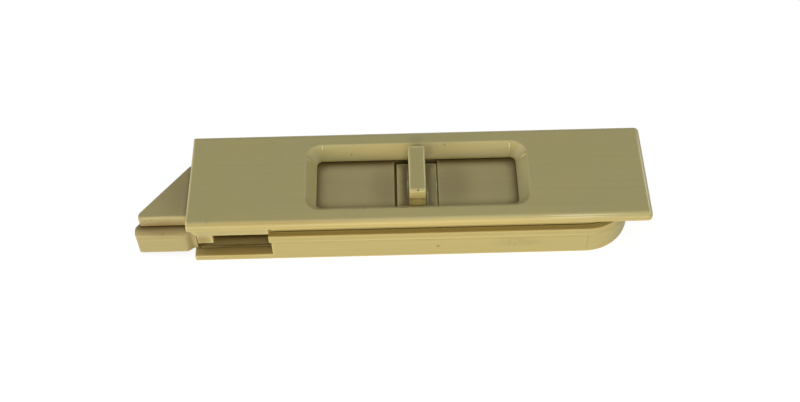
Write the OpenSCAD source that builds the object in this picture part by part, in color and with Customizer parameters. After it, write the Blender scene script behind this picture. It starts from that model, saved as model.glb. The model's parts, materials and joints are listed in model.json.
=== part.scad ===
// Recessed tilt latch for a window sash.
// The origin lies at the middle of the plate's underside, the seat on the sash rail.
// X runs along the latch with the bolt's nose towards -X, and +Z points out of the face.

/* [Face plate] */
// Length of the face plate
plate_l = 119.9; // [110:0.1:140]
// Width of the face plate
plate_w = 30.2; // [27:0.2:36]
// Thickness of the face plate
plate_t = 2.2; // [1.8:0.1:3]
// Plan radius of the two corners away from the nose
plate_corner_r = 1.3; // [0.6:0.1:2.5]
// Radius that softens the long top edges
plate_edge_r = 1.7; // [0.4:0.1:1.7]
// Radius that softens the top edge away from the nose
plate_end_r = 1.2; // [0.4:0.1:1.7]
// Overhang of the plate past the body's sides
flange = 2.5; // [1.5:0.1:4]
// Overhang of the plate past the body's round end
end_flange = 2.9; // [1.5:0.1:4]

/* [Window] */
// Length of the window at the plate's face
window_l = 58.7; // [52:0.1:64]
// Place of the window's middle along the plate
window_x = -0.2; // [-3:0.1:3]
// Sideways run of the sloped window walls
window_run = 2.8; // [1.5:0.1:3.2]
// Corner radius at the window's inner edge
window_r = 1.5; // [0.8:0.1:2.5]
// Depth that the window's rim reaches below the plate
window_rim = 1.4; // [0.8:0.1:2]
// Overlap of the window's long inner edges over the bolt
window_lap = 0.95; // [0.3:0.05:1.4]

/* [Skirt and lip] */
// Wall of the skirt that guides the bolt
skirt_t = 1.25; // [0.9:0.05:1.6]
// Depth of the lip under the plate's front edge
lip_h = 2.4; // [1.2:0.05:2.8]
// Wall of the lip
lip_t = 1.65; // [1:0.05:1.8]
// Set-back of the lip from the plate's front edge
lip_inset = 0.25; // [0.1:0.05:0.6]
// Length of the lip
lip_l = 20.6; // [14:0.1:22]
// Width of the tab that hangs from the lip
tab_l = 4.1; // [2.5:0.1:6]
// Depth of the tab below the lip
tab_h = 3.2; // [2:0.05:4]

/* [Body tray] */
// Depth of the body below the seat
body_depth = 16.8; // [15.8:0.1:20]
// Height of the open strip between plate and tray
strip_h = 7.2; // [6:0.1:7.4]
// Wall of the tray
tray_wall = 2; // [1.5:0.05:2.4]
// Floor of the tray
floor_t = 2.1; // [1.5:0.05:2.6]
// Height of the leaning band under the tray's rim
band_h = 2.5; // [1.5:0.1:3.4]
// Inward lean of that band at the rim
band_lean = 0.3; // [0.1:0.05:0.8]
// Spare length of the side notch past the bolt's block
notch_spare = 5.8; // [4:0.1:9]
// Step in the notch's end at the band
notch_step = 0.6; // [0.2:0.05:1.2]
// Length of the stop lip at the tray's mouth
stop_l = 1.6; // [1:0.1:2.5]

/* [Latch bolt] */
// Travel of the bolt, which is also its reach past the plate
travel = 15; // [12:0.1:16]
// Gap between the window's rim and the bolt
bolt_drop = 0.8; // [0.4:0.05:1.2]
// Set-back of the nose behind the guide block's end
nose_setback = 1.4; // [0.5:0.1:2.5]
// Distance of the bevel's end outside the mouth
bevel_out = 1.05; // [0:0.05:2]
// Blunt width of the nose's tip
nose_tip_w = 1.7; // [1:0.1:3]
// Radius along the bolt's top edges
bolt_edge_r = 0.8; // [0.3:0.05:1.2]
// Height of the wide foot that runs under the skirt
foot_h = 4.4; // [3.2:0.1:4.8]
// Reach of the foot past the bar on each side
foot_out = 1.35; // [0.6:0.05:1.5]
// Depth of the channel along the bolt's front side
channel_d = 2.45; // [1.5:0.05:2.8]
// Thickness of the runner below that channel
runner_t = 0.6; // [0.4:0.05:1.2]
// Height of the guide block
block_h = 8; // [6.5:0.05:8.3]
// Reach of the guide block past the bar
block_out = 2.45; // [2:0.05:2.9]
// Length of the guide block
block_l = 15.75; // [10:0.05:16]
// Radius of the block's round front top edge
block_edge_r = 2.4; // [1:0.05:2.4]
// Plan radius of the block's front corner at the nose
block_corner_r = 1; // [0.4:0.1:1.5]
// Height of the relief groove above the block
groove_h = 0.8; // [0.5:0.05:1.3]
// Depth of the relief groove
groove_d = 1.6; // [0.8:0.05:2.2]
// Thickness of the bolt's cored walls and ribs
core_wall = 2; // [1.4:0.05:2.4]

/* [Finger pull] */
// Thickness of the pull's rib
rib_t = 4.35; // [3:0.05:6]
// Gap between the rib's ends and the window's long inner edges
rib_end_gap = 0.4; // [0.3:0.05:2]
// Height of the rib above the plate's face
rib_rise = 2.8; // [0.5:0.1:4]
// Radius at the rib's upper end towards the front
rib_nose_r = 1.6; // [0.6:0.1:2.1]
// Radius along the rib's other edges
rib_edge_r = 0.5; // [0.2:0.05:0.9]
// Length of the pull's base along the latch
base_l = 10.8; // [9:0.1:13]
// Gap between the base's ends and the window's long inner edges
base_end_gap = 0.5; // [0.3:0.05:1.5]
// Thickness of the pull's base
base_t = 2; // [1.4:0.1:2.4]
// Open joint on the nose side of the base
base_gap = 0.55; // [0.3:0.05:0.8]
// Width of the snap legs
leg_w = 6; // [4:0.1:8]
// Thickness of the snap legs
leg_t = 1.6; // [1.2:0.05:2]

/* [Return spring] */
// Outer diameter of the spring
spring_od = 6.4; // [5:0.1:6.8]
// Diameter of the spring's wire
wire_d = 0.8; // [0.6:0.05:1]
// Number of turns
turns = 13; // [9:1:15]

/* [Posts] */
// Diameter of the posts at the round end
post_d = 4; // [3.4:0.1:4.4]
// Diameter of the pins under the posts
pin_d = 2.4; // [1.8:0.1:2.6]
// Length of the pins
pin_l = 2.6; // [1.6:0.1:3]
// Radius of the snap bead that holds the tray
bead_r = 0.45; // [0.3:0.05:0.6]

/* [Clearances] */
// Running clearance of the bolt
slide_gap = 0.3; // [0.2:0.05:0.4]
// Clearance of pieces that stay put
fit_gap = 0.2; // [0.1:0.05:0.3]
// Clearance of pins and snap legs in their holes
snug_gap = 0.1; // [0.05:0.05:0.2]

/* [Hidden] */
$fn = 64;
// Length by which a cut runs past the face that it opens
past = 1;

// Colours of the moulding and the spring wire
plate_colour = [0.58, 0.55, 0.39];
tray_colour = [0.75, 0.69, 0.47];
bolt_colour = [0.62, 0.57, 0.40];
pull_colour = [0.68, 0.63, 0.42];
wire_colour = [0.62, 0.63, 0.65];

// Ends of the plate and half widths of the nested walls, from the outside in
mouth_x = -plate_l / 2;
plate_end_x = plate_l / 2;
tray_half = plate_w / 2 - flange;
tray_in_half = tray_half - tray_wall;
skirt_half = tray_in_half - fit_gap;
skirt_in_half = skirt_half - skirt_t;
bar_half = skirt_in_half - slide_gap;
foot_half = bar_half + foot_out;
arc_x = plate_end_x - end_flange - tray_half;

// Heights, measured from the seat
body_z = -body_depth;
floor_z = body_z + floor_t;
rim_z = -strip_h;
band_z = rim_z - band_h;
bolt_z = -window_rim - bolt_drop;
foot_z = floor_z + slide_gap;
foot_top_z = foot_z + foot_h;
skirt_z = foot_top_z + slide_gap;
block_top_z = foot_z + block_h;
axis_z = (bolt_z + foot_z) / 2;
bead_z = (skirt_z + rim_z) / 2;

// Window at its inner edge
window_in_half_l = window_l / 2 - window_run;
window_in_half_w = bar_half - window_lap;

// Notch in the tray's front wall, and the skirt's opening above it
notch_x = mouth_x + travel + notch_spare;

// Bolt, from nose to tail
block_x = mouth_x - travel;
tip_x = block_x + nose_setback;
tip_y = nose_tip_w - bar_half;
bevel_x = mouth_x - bevel_out;
bevel_slope = (bar_half - tip_y) / (bevel_x - tip_x);
foot_x = mouth_x + stop_l + snug_gap;
block_y = -bar_half - block_out;
block_end_x = block_x + block_l;
block_land = 1.1;
block_heel_x = 1.65;
block_heel_y = 1.25;
channel_y = channel_d - bar_half;

// Posts at the round end, outside the bolt's travel
boss_d = post_d + 2 * snug_gap;
post_x = arc_x + post_d;
post_y = skirt_in_half - post_d / 2;
boss_z = foot_top_z;
tail_gap = 2;
tail_x = post_x - boss_d / 2 - tail_gap - travel;

// Pull, its slot across the bolt and the cored room under it
rib_l = 2 * (window_in_half_w - rib_end_gap);
base_w = 2 * (window_in_half_w - base_end_gap);
pull_z = bolt_z - fit_gap;
slot_z = pull_z - base_t;
web_z = slot_z - core_wall;
leg_x = base_l / 2 - leg_t - snug_gap - core_wall / 2;
hook_out = 0.6;
hook_h = 1.2;
leg_z = web_z - snug_gap - hook_h;
room_half_l = base_l / 2 + core_wall;

// Spring between the blind bore in the bolt and the seat on the skirt
bore_d = spring_od + 4 * fit_gap;
bore_x = window_x + room_half_l + core_wall;
seat_t = 2;
seat_x = arc_x + skirt_in_half - seat_t;
spring_r = (spring_od - wire_d) / 2;
peg_d = spring_od - 2 * wire_d - 2 * fit_gap;
peg_l = 4;
wire_sides = 8;
turn_steps = 14;
dead_turns = 1;

// Lip and tab under the plate's front edge
lip_x = mouth_x + 0.4;
lip_slope = 1.9;

// Rectangle from x0 to x1 with both corners at x1 rounded
module end_rounded(x0, x1, half, r) {
  translate([x0, -half])
    square([x1 - x0 - r, 2 * half]);
  translate([x0, r - half])
    square([x1 - x0, 2 * (half - r)]);
  for (side = [-1, 1])
    translate([x1 - r, side * (half - r)])
      circle(r);
}

// Strip from x0 that ends in a half circle round arc_x
module round_ended(x0, half) {
  translate([x0, -half])
    square([arc_x - x0, 2 * half]);
  translate([arc_x, 0])
    circle(half);
}

// Section with rounded upper corners, standing on the first axis
module crowned(x0, x1, h, r_left, r_right) {
  difference() {
    translate([x0, 0])
      square([x1 - x0, h]);
    if (r_left > 0)
      translate([x0, h])
        corner_waste(r_left);
    if (r_right > 0)
      translate([x1, h])
        mirror([1, 0])
          corner_waste(r_right);
  }
}

// What rounding takes off an upper left corner at the origin
module corner_waste(r) {
  difference() {
    translate([-past, -r])
      square([r + past, r + past]);
    translate([r, -r])
      circle(r);
  }
}

// Extrudes an outline drawn in Y and Z along X
module along_x(x0, x1) {
  translate([x0, 0, 0])
    rotate([90, 0, 90])
      linear_extrude(x1 - x0)
        children();
}

// Extrudes an outline drawn in X and Z along Y
module along_y(y0, y1) {
  translate([0, y1, 0])
    rotate([90, 0, 0])
      linear_extrude(y1 - y0)
        children();
}

// Rectangular box from corner to corner
module box_between(low, high) {
  translate(low)
    cube(high - low);
}

// Plate with soft long edges, a soft end and a square end at the nose
module plate_slab() {
  intersection() {
    linear_extrude(plate_t)
      end_rounded(mouth_x, plate_end_x, plate_w / 2, plate_corner_r);
    along_x(mouth_x - past, plate_end_x + past)
      crowned(-plate_w / 2, plate_w / 2, plate_t, plate_edge_r, plate_edge_r);
    along_y(-plate_w, plate_w)
      crowned(mouth_x - past, plate_end_x, plate_t, 0, plate_end_r);
  }
}

// Sloped window, drawn round a cone at each corner
module window_void() {
  corner_l = window_in_half_l - window_r;
  corner_w = window_in_half_w - window_r;
  grow = past * window_run / (window_rim + plate_t);
  translate([window_x, 0, -window_rim - past])
    hull()
      for (x = [-corner_l, corner_l], y = [-corner_w, corner_w])
        translate([x, y, 0])
          cylinder(h = window_rim + plate_t + 2 * past, r1 = window_r - grow,
                   r2 = window_r + window_run + grow, $fn = 32);
}

// Rim that carries the sloped walls below the plate
module window_frame() {
  rim_l = window_in_half_l + window_run;
  rim_w = min(window_in_half_w + window_run, skirt_half);
  translate([window_x - rim_l, -rim_w, -window_rim])
    cube([2 * rim_l, 2 * rim_w, window_rim + plate_t / 2]);
}

// Skirt that guides the bolt, cut away over the notch where the block passes
module skirt() {
  difference() {
    translate([0, 0, skirt_z])
      linear_extrude(-skirt_z + plate_t / 2)
        difference() {
          round_ended(mouth_x + stop_l, skirt_half);
          round_ended(mouth_x - past, skirt_in_half);
        }
    box_between([mouth_x, -skirt_half - past, skirt_z - past],
                [notch_x + fit_gap, 0, block_top_z + slide_gap]);
  }
}

// Bead along each side that snaps into the tray's groove
module snap_bead(r) {
  for (side = [-1, 1])
    translate([notch_x + tray_wall + past, side * skirt_half, bead_z])
      rotate([0, 90, 0])
        cylinder(h = arc_x - notch_x - 2 * (tray_wall + past), r = r);
}

// Lip with its hanging tab, one outline in X and Z
module front_lip() {
  tab_x = lip_x + lip_slope;
  front_y = lip_inset - plate_w / 2;
  along_y(front_y, front_y + lip_t)
    polygon([
      [lip_x, plate_t / 4],
      [lip_x, 0],
      [tab_x, -lip_h],
      [tab_x, -lip_h - tab_h],
      [tab_x + tab_l, -lip_h - tab_h],
      [tab_x + tab_l, -lip_h],
      [lip_x + lip_l, -lip_h],
      [lip_x + lip_l, plate_t / 4]
    ]);
}

// Two posts whose pins press into the tray's bosses
module posts() {
  for (side = [-1, 1])
    translate([post_x, side * post_y, 0]) {
      translate([0, 0, boss_z])
        cylinder(h = -boss_z + plate_t / 2, d = post_d);
      translate([0, 0, boss_z - pin_l])
        cylinder(h = pin_l + plate_t, d = pin_d);
    }
}

// Flat seat and peg for the spring on the skirt's round end
module spring_seat() {
  translate([seat_x, 0, axis_z])
    rotate([0, 90, 0]) {
      cylinder(h = seat_t + skirt_t / 2, d = spring_od);
      translate([0, 0, -peg_l])
        cylinder(h = peg_l + seat_t, d = peg_d);
    }
}

module face_plate() {
  color(plate_colour)
    difference() {
      union() {
        plate_slab();
        window_frame();
        skirt();
        snap_bead(bead_r);
        front_lip();
        posts();
        spring_seat();
      }
      window_void();
    }
}

// Tray's outside: upright wall below, leaning band at the rim, round far end
module tray_outside() {
  translate([0, 0, body_z])
    linear_extrude(band_z - body_z)
      round_ended(mouth_x, tray_half);
  along_x(mouth_x, arc_x)
    polygon([
      [-tray_half, band_z],
      [tray_half, band_z],
      [tray_half - band_lean, rim_z],
      [band_lean - tray_half, rim_z]
    ]);
  translate([arc_x, 0, band_z])
    cylinder(h = band_h, r1 = tray_half, r2 = tray_half - band_lean);
}

// Notch through the front wall that the bolt's block slides into
module side_notch() {
  box_between([mouth_x - past, -tray_half - past, floor_z],
              [notch_x, 0, band_z]);
  box_between([mouth_x - past, -tray_half - past, floor_z],
              [notch_x - notch_step, 0, rim_z + past]);
}

// Bosses that take the posts' pins
module bosses() {
  for (side = [-1, 1])
    translate([post_x, side * post_y, floor_z - floor_t / 2])
      difference() {
        cylinder(h = boss_z - floor_z + floor_t / 2, d = boss_d);
        translate([0, 0, floor_t / 2])
          cylinder(h = boss_z - floor_z + past, d = pin_d + 2 * snug_gap);
      }
}

module body_tray() {
  color(tray_colour) {
    difference() {
      tray_outside();
      translate([0, 0, floor_z])
        linear_extrude(rim_z - floor_z + past)
          round_ended(mouth_x - past, tray_in_half);
      side_notch();
      snap_bead(bead_r + snug_gap);
    }
    bosses();
    box_between([mouth_x, bar_half + slide_gap, floor_z - floor_t / 2],
                [mouth_x + stop_l, tray_in_half + tray_wall / 2, rim_z]);
  }
}

// Plan of the bar with its bevelled nose
module bar_plan() {
  polygon([
    [tail_x, -bar_half],
    [tail_x, bar_half],
    [bevel_x, bar_half],
    [tip_x, tip_y],
    [tip_x, -bar_half]
  ]);
}

// Bar with soft top edges along its sides and over the nose's tip
module bar() {
  bar_h = bolt_z - foot_z;
  translate([0, 0, foot_z])
    intersection() {
      linear_extrude(bar_h)
        bar_plan();
      along_x(block_x, tail_x)
        crowned(-bar_half, bar_half, bar_h, bolt_edge_r, bolt_edge_r);
      along_y(-bar_half - past, bar_half + past)
        crowned(tip_x, tail_x, bar_h, bolt_edge_r, 0);
    }
}

// Plan of the guide block, which shares the nose's bevel
module block_plan() {
  difference() {
    polygon([
      [block_end_x, -bar_half + groove_d],
      [block_end_x, block_y + block_heel_y],
      [block_end_x - block_land, block_y + block_heel_y],
      [block_end_x - block_land - block_heel_x, block_y],
      [block_x, block_y],
      [block_x, tip_y - nose_setback * bevel_slope],
      [tip_x, tip_y]
    ]);
    translate([block_x, block_y])
      mirror([0, 1])
        corner_waste(block_corner_r);
  }
}

// Guide block with a round front top edge
module guide_block() {
  translate([0, 0, foot_z])
    intersection() {
      linear_extrude(block_h)
        block_plan();
      along_x(block_x, block_end_x)
        crowned(block_y, bar_half, block_h, block_edge_r, 0);
    }
}

// Rooms cored out of the bolt's underside between its ribs
module cores() {
  first_x = foot_x + core_wall;
  last_x = window_x - room_half_l - core_wall;
  count = 3;
  room_l = (last_x - first_x - (count - 1) * core_wall) / count;
  near_room = [channel_y + core_wall, -core_wall / 2];
  far_room = [core_wall / 2, bar_half - core_wall];
  for (i = [0 : count - 1], y = [near_room, far_room])
    translate([first_x + i * (room_l + core_wall), y[0], foot_z - past])
      cube([room_l, y[1] - y[0], bolt_z - core_wall - foot_z + past]);
}

// Slot across the bolt for the pull, with leg holes and a room for the hooks below
module pull_socket() {
  translate([window_x, 0, 0]) {
    box_between([-base_l / 2 - base_gap, -bar_half - past, slot_z - snug_gap],
                [base_l / 2 + snug_gap, bar_half + past, bolt_z + past]);
    for (side = [0, 1])
      mirror([side, 0, 0])
        box_between([leg_x - hook_out - snug_gap, -leg_w / 2 - snug_gap, web_z - past],
                    [leg_x + leg_t + snug_gap, leg_w / 2 + snug_gap, bolt_z]);
    box_between([-room_half_l, channel_y + core_wall, foot_z - past],
                [room_half_l, bar_half - core_wall, web_z]);
  }
}

// Channel along the bolt's front side, behind the block
module side_channel() {
  box_between([block_end_x + fit_gap, -foot_half - past, foot_z + runner_t],
              [tail_x + past, channel_y, foot_top_z]);
}

module latch_bolt() {
  color(bolt_colour)
    difference() {
      union() {
        bar();
        guide_block();
        box_between([foot_x, -foot_half, foot_z], [tail_x, foot_half, foot_top_z]);
      }
      box_between([block_x - past, -bar_half - past, block_top_z],
                  [block_end_x, groove_d - bar_half, block_top_z + groove_h]);
      side_channel();
      cores();
      pull_socket();
      translate([bore_x, 0, axis_z])
        rotate([0, 90, 0])
          cylinder(h = tail_x - bore_x + past, d = bore_d);
    }
}

// Upright rib with softened ends and edges
module pull_rib() {
  rib_h = plate_t + rib_rise - slot_z;
  translate([window_x, 0, slot_z])
    intersection() {
      linear_extrude(rib_h)
        union() {
          end_rounded(0, rib_t / 2, rib_l / 2, rib_edge_r);
          mirror([1, 0])
            end_rounded(0, rib_t / 2, rib_l / 2, rib_edge_r);
        }
      along_x(-rib_t, rib_t)
        crowned(-rib_l / 2, rib_l / 2, rib_h, rib_nose_r, rib_edge_r);
      along_y(-rib_l, rib_l)
        crowned(-rib_t / 2, rib_t / 2, rib_h, rib_edge_r, rib_edge_r);
    }
}

// Legs that spring through the bolt's web and hook under it
module snap_legs() {
  for (side = [0, 1])
    translate([window_x, 0, 0])
      mirror([side, 0, 0])
        along_y(-leg_w / 2, leg_w / 2)
          polygon([
            [leg_x, slot_z + base_t / 2],
            [leg_x, leg_z],
            [leg_x + leg_t, leg_z],
            [leg_x + leg_t + hook_out, leg_z + hook_h],
            [leg_x + leg_t, leg_z + hook_h],
            [leg_x + leg_t, slot_z + base_t / 2]
          ]);
}

module finger_pull() {
  color(pull_colour) {
    pull_rib();
    box_between([window_x - base_l / 2, -base_w / 2, slot_z],
                [window_x + base_l / 2, base_w / 2, pull_z]);
    snap_legs();
  }
}

// Place along the spring's axis after a number of turns, with closed end turns
function coil_x(t) =
  let (
    dead_l = dead_turns * wire_d,
    live_l = seat_x - bore_x - wire_d - 2 * dead_l - 2 * fit_gap,
    live = turns - 2 * dead_turns,
    start = bore_x + fit_gap + wire_d / 2
  )
  t < dead_turns ? start + t * wire_d
  : t > turns - dead_turns ? start + dead_l + live_l + (t - turns + dead_turns) * wire_d
  : start + dead_l + (t - dead_turns) / live * live_l;

// Ring of points round the wire after a number of turns
function wire_ring(t) =
  [
    for (j = [0 : wire_sides - 1])
      let (a = 360 * j / wire_sides, r = spring_r + wire_d / 2 * cos(a))
      [coil_x(t) + wire_d / 2 * sin(a), r * cos(360 * t), axis_z + r * sin(360 * t)]
  ];

module return_spring() {
  rings = turns * turn_steps;
  points = [for (i = [0 : rings]) each wire_ring(i / turn_steps)];
  walls = [
    for (i = [0 : rings - 1], j = [0 : wire_sides - 1])
      let (k = (j + 1) % wire_sides, a = i * wire_sides, b = a + wire_sides)
      each [[a + j, a + k, b + k], [a + j, b + k, b + j]]
  ];
  caps = [
    [for (j = [wire_sides - 1 : -1 : 0]) j],
    [for (j = [0 : wire_sides - 1]) rings * wire_sides + j]
  ];
  color(wire_colour)
    polyhedron(points = points, faces = concat(walls, caps));
}

face_plate();
body_tray();
latch_bolt();
finger_pull();
return_spring();
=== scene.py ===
"""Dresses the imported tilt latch: four mouldings, a spring, their finishes, a studio and the camera."""

import json
import logging
import math
from abc import ABC, abstractmethod
from contextlib import contextmanager
from dataclasses import dataclass
from enum import Enum
from typing import Any, Callable, Iterator, Sequence

import bmesh
import bpy
from mathutils import Matrix, Vector


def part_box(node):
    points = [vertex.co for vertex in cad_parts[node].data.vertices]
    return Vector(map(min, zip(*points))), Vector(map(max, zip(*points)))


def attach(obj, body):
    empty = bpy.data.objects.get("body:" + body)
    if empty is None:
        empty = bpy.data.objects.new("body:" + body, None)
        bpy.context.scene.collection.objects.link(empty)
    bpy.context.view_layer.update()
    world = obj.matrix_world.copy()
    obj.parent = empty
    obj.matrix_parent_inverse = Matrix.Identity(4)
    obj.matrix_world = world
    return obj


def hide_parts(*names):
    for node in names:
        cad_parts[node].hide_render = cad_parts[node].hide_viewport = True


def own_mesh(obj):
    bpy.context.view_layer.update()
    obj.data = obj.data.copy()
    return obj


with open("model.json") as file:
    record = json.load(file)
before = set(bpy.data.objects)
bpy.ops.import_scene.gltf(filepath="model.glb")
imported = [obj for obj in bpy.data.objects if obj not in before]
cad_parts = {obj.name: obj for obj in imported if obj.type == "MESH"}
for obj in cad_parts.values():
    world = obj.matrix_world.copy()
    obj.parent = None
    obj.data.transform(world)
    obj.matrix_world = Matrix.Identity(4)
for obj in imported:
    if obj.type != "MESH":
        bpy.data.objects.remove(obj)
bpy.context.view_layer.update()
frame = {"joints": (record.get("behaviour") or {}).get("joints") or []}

MM = 0.001
NEAR = 0.002 * MM
SHARP = math.radians(32)
LOG = logging.getLogger("tilt_latch")

EdgeTest = Callable[[Vector, Vector], bool]
FaceTest = Callable[[bmesh.types.BMFace], bool]
Triple = tuple[float, float, float]
Colour = Triple

UP = Vector((0.0, 0.0, 1.0))
SIDES = (-1, 1)
WHITE: Colour = (1.0, 1.0, 1.0)


class Join(Enum):
    """Ways in which two solids are combined."""

    WELD = "UNION"
    CUT = "DIFFERENCE"
    SHARE = "INTERSECT"


class Pick(Enum):
    """Kinds of elements that are selected in edit mode."""

    POINTS = "VERT"
    EDGES = "EDGE"
    FACES = "FACE"


class Calc(Enum):
    """Operations on two values in a node tree."""

    ADD = "ADD"
    SUBTRACT = "SUBTRACT"
    MULTIPLY = "MULTIPLY"
    GREATER = "GREATER_THAN"


class Blend(Enum):
    """Ways in which two colours are mixed."""

    MIX = "MIX"
    MULTIPLY = "MULTIPLY"


def near(value: float, target: float, slack: float = NEAR) -> bool:
    """Tells whether two lengths agree."""
    return abs(value - target) < slack


class Bench:
    """Modelling steps, each done with Blender's own operators."""

    @staticmethod
    def only(piece: bpy.types.Object) -> None:
        """Makes one object the only selected and active one.

        Args:
            piece: The object to select.
        """
        bpy.ops.object.select_all(action="DESELECT")
        piece.select_set(True)
        bpy.context.view_layer.objects.active = piece

    @staticmethod
    @contextmanager
    def editing(piece: bpy.types.Object, kind: Pick) -> Iterator[bmesh.types.BMesh]:
        """Opens a piece in edit mode with nothing selected.

        Args:
            piece: The object to edit.
            kind: The kind of elements to select.

        Returns:
            The edit mesh, in which elements can be selected.
        """
        Bench.only(piece)
        bpy.ops.object.mode_set(mode="EDIT")
        bpy.ops.mesh.select_mode(type=kind.value)
        bpy.ops.mesh.select_all(action="DESELECT")
        yield bmesh.from_edit_mesh(piece.data)
        bpy.ops.object.mode_set(mode="OBJECT")

    @staticmethod
    def settle(name: str) -> bpy.types.Object:
        """Names the primitive that was just added and puts its place into its mesh.

        Args:
            name: The object's name.

        Returns:
            The primitive's object.
        """
        piece = bpy.context.object
        piece.name = name
        piece.data.name = name
        bpy.ops.object.transform_apply(location=True, rotation=True, scale=True)
        return piece

    @staticmethod
    def block(name: str, low: Vector, high: Vector) -> bpy.types.Object:
        """Adds a rectangular block from corner to corner.

        Args:
            name: The object's name.
            low: The lowest corner.
            high: The highest corner.

        Returns:
            The new object.
        """
        bpy.ops.object.select_all(action="DESELECT")
        bpy.ops.mesh.primitive_cube_add(size=1.0, location=(low + high) / 2, scale=high - low)
        return Bench.settle(name)

    @staticmethod
    def rod(name: str, start: Vector, end: Vector, radius: float, sides: int = 48) -> bpy.types.Object:
        """Adds a round rod between two points.

        Args:
            name: The object's name.
            start: Middle of the first end.
            end: Middle of the second end.
            radius: Radius of the rod.
            sides: Number of faces round the rod.

        Returns:
            The new object.
        """
        line = end - start
        turn = line.to_track_quat("Z", "Y").to_euler()
        bpy.ops.object.select_all(action="DESELECT")
        bpy.ops.mesh.primitive_cylinder_add(
            vertices=sides, radius=radius, depth=line.length, location=(start + end) / 2, rotation=turn
        )
        return Bench.settle(name)

    @staticmethod
    def outline(name: str, points: Sequence[Vector], rounds: dict[int, float] | None = None,
                closed: bool = True, segments: int = 6) -> bpy.types.Object:
        """Draws an outline from point to point, with round corners where they are asked for.

        Args:
            name: The object's name.
            points: Corners of the outline.
            rounds: Corner radii by the corner's number.
            closed: Whether the last point joins the first.
            segments: Number of edges across each round corner.

        Returns:
            The new object, which has edges and no face.
        """
        bpy.ops.object.select_all(action="DESELECT")
        bpy.ops.mesh.primitive_plane_add(size=MM, location=points[0])
        piece = Bench.settle(name)
        with Bench.editing(piece, Pick.POINTS):
            bpy.ops.mesh.select_all(action="SELECT")
            bpy.ops.mesh.merge(type="CENTER")
            for start, end in zip(points, points[1:]):
                bpy.ops.mesh.extrude_region_move(TRANSFORM_OT_translate={"value": end - start})
        if closed:
            with Bench.editing(piece, Pick.POINTS) as mesh:
                Bench.pick_points(mesh, (points[0], points[-1]))
                bpy.ops.mesh.edge_face_add()
        for corner, radius in (rounds or {}).items():
            with Bench.editing(piece, Pick.POINTS) as mesh:
                Bench.pick_points(mesh, (points[corner],))
                bpy.ops.mesh.bevel(offset=radius, segments=segments, affect="VERTICES")
        return piece

    @staticmethod
    def raised(piece: bpy.types.Object, along: Vector) -> bpy.types.Object:
        """Fills a closed outline and extrudes it to a solid.

        Args:
            piece: The outline.
            along: Direction and length of the extrusion.

        Returns:
            The same object.
        """
        with Bench.editing(piece, Pick.EDGES):
            bpy.ops.mesh.select_all(action="SELECT")
            bpy.ops.mesh.edge_face_add()
            bpy.ops.mesh.extrude_region_move(TRANSFORM_OT_translate={"value": along})
            bpy.ops.mesh.select_all(action="SELECT")
            bpy.ops.mesh.normals_make_consistent(inside=False)
        return piece

    @staticmethod
    def round_sweep(piece: bpy.types.Object, start_x: float, arc_x: float,
                    steps: int = 40) -> bpy.types.Object:
        """Sweeps a section along one side, round the half circle at arc_x and back along the other side.

        Args:
            piece: The section's outline at start_x, on the -Y side.
            start_x: Place where the sweep starts and ends.
            arc_x: Place of the half circle's middle.
            steps: Number of steps round the half circle.

        Returns:
            The same object, closed at both ends.
        """
        run = Vector((arc_x - start_x, 0.0, 0.0))
        with Bench.editing(piece, Pick.EDGES):
            bpy.ops.mesh.select_all(action="SELECT")
            bpy.ops.mesh.extrude_region_move(TRANSFORM_OT_translate={"value": run})
            bpy.ops.mesh.spin(steps=steps, angle=-math.pi, center=(arc_x, 0.0, 0.0), axis=UP)
            bpy.ops.mesh.extrude_region_move(TRANSFORM_OT_translate={"value": -run})
            bpy.ops.mesh.select_all(action="SELECT")
            bpy.ops.mesh.remove_doubles(threshold=NEAR)
        for side in SIDES:
            with Bench.editing(piece, Pick.EDGES) as mesh:
                Bench.pick_edges(
                    mesh, lambda a, b: near(a.x, start_x) and near(b.x, start_x) and (a.y + b.y) * side > 0
                )
                Bench.drop_inner_edges(mesh)
                bpy.ops.mesh.edge_face_add()
        with Bench.editing(piece, Pick.FACES):
            bpy.ops.mesh.select_all(action="SELECT")
            bpy.ops.mesh.normals_make_consistent(inside=False)
        return piece

    @staticmethod
    def pick_points(mesh: bmesh.types.BMesh, places: Sequence[Vector]) -> None:
        """Selects the vertices that lie at some places.

        Args:
            mesh: The edit mesh.
            places: The places.
        """
        for vertex in mesh.verts:
            if any((vertex.co - place).length < NEAR for place in places):
                vertex.select_set(True)
        mesh.select_flush_mode()

    @staticmethod
    def pick_edges(mesh: bmesh.types.BMesh, test: EdgeTest) -> None:
        """Selects the edges whose two ends pass a test.

        Args:
            mesh: The edit mesh.
            test: The test on an edge's two ends.
        """
        for edge in mesh.edges:
            if test(edge.verts[0].co, edge.verts[1].co):
                edge.select_set(True)
        mesh.select_flush_mode()

    @staticmethod
    def drop_inner_edges(mesh: bmesh.types.BMesh) -> None:
        """Drops the selected edges that don't lie on an open end.

        Args:
            mesh: The edit mesh.
        """
        for edge in mesh.edges:
            if edge.select and not edge.is_boundary:
                edge.select_set(False)
        mesh.select_flush_mode()

    @staticmethod
    def pick_faces(mesh: bmesh.types.BMesh, test: FaceTest) -> None:
        """Selects the faces that pass a test.

        Args:
            mesh: The edit mesh.
            test: The test on a face.
        """
        for face in mesh.faces:
            if test(face):
                face.select_set(True)
        mesh.select_flush_mode()

    @staticmethod
    def round_edges(piece: bpy.types.Object, test: EdgeTest, radius: float, segments: int = 4) -> None:
        """Rounds the edges whose two ends pass a test.

        Args:
            piece: The object to work on.
            test: The test on an edge's two ends.
            radius: Radius of the rounding.
            segments: Number of faces across the rounding.
        """
        with Bench.editing(piece, Pick.EDGES) as mesh:
            Bench.pick_edges(mesh, test)
            bpy.ops.mesh.bevel(offset=radius, segments=segments, affect="EDGES")

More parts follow.
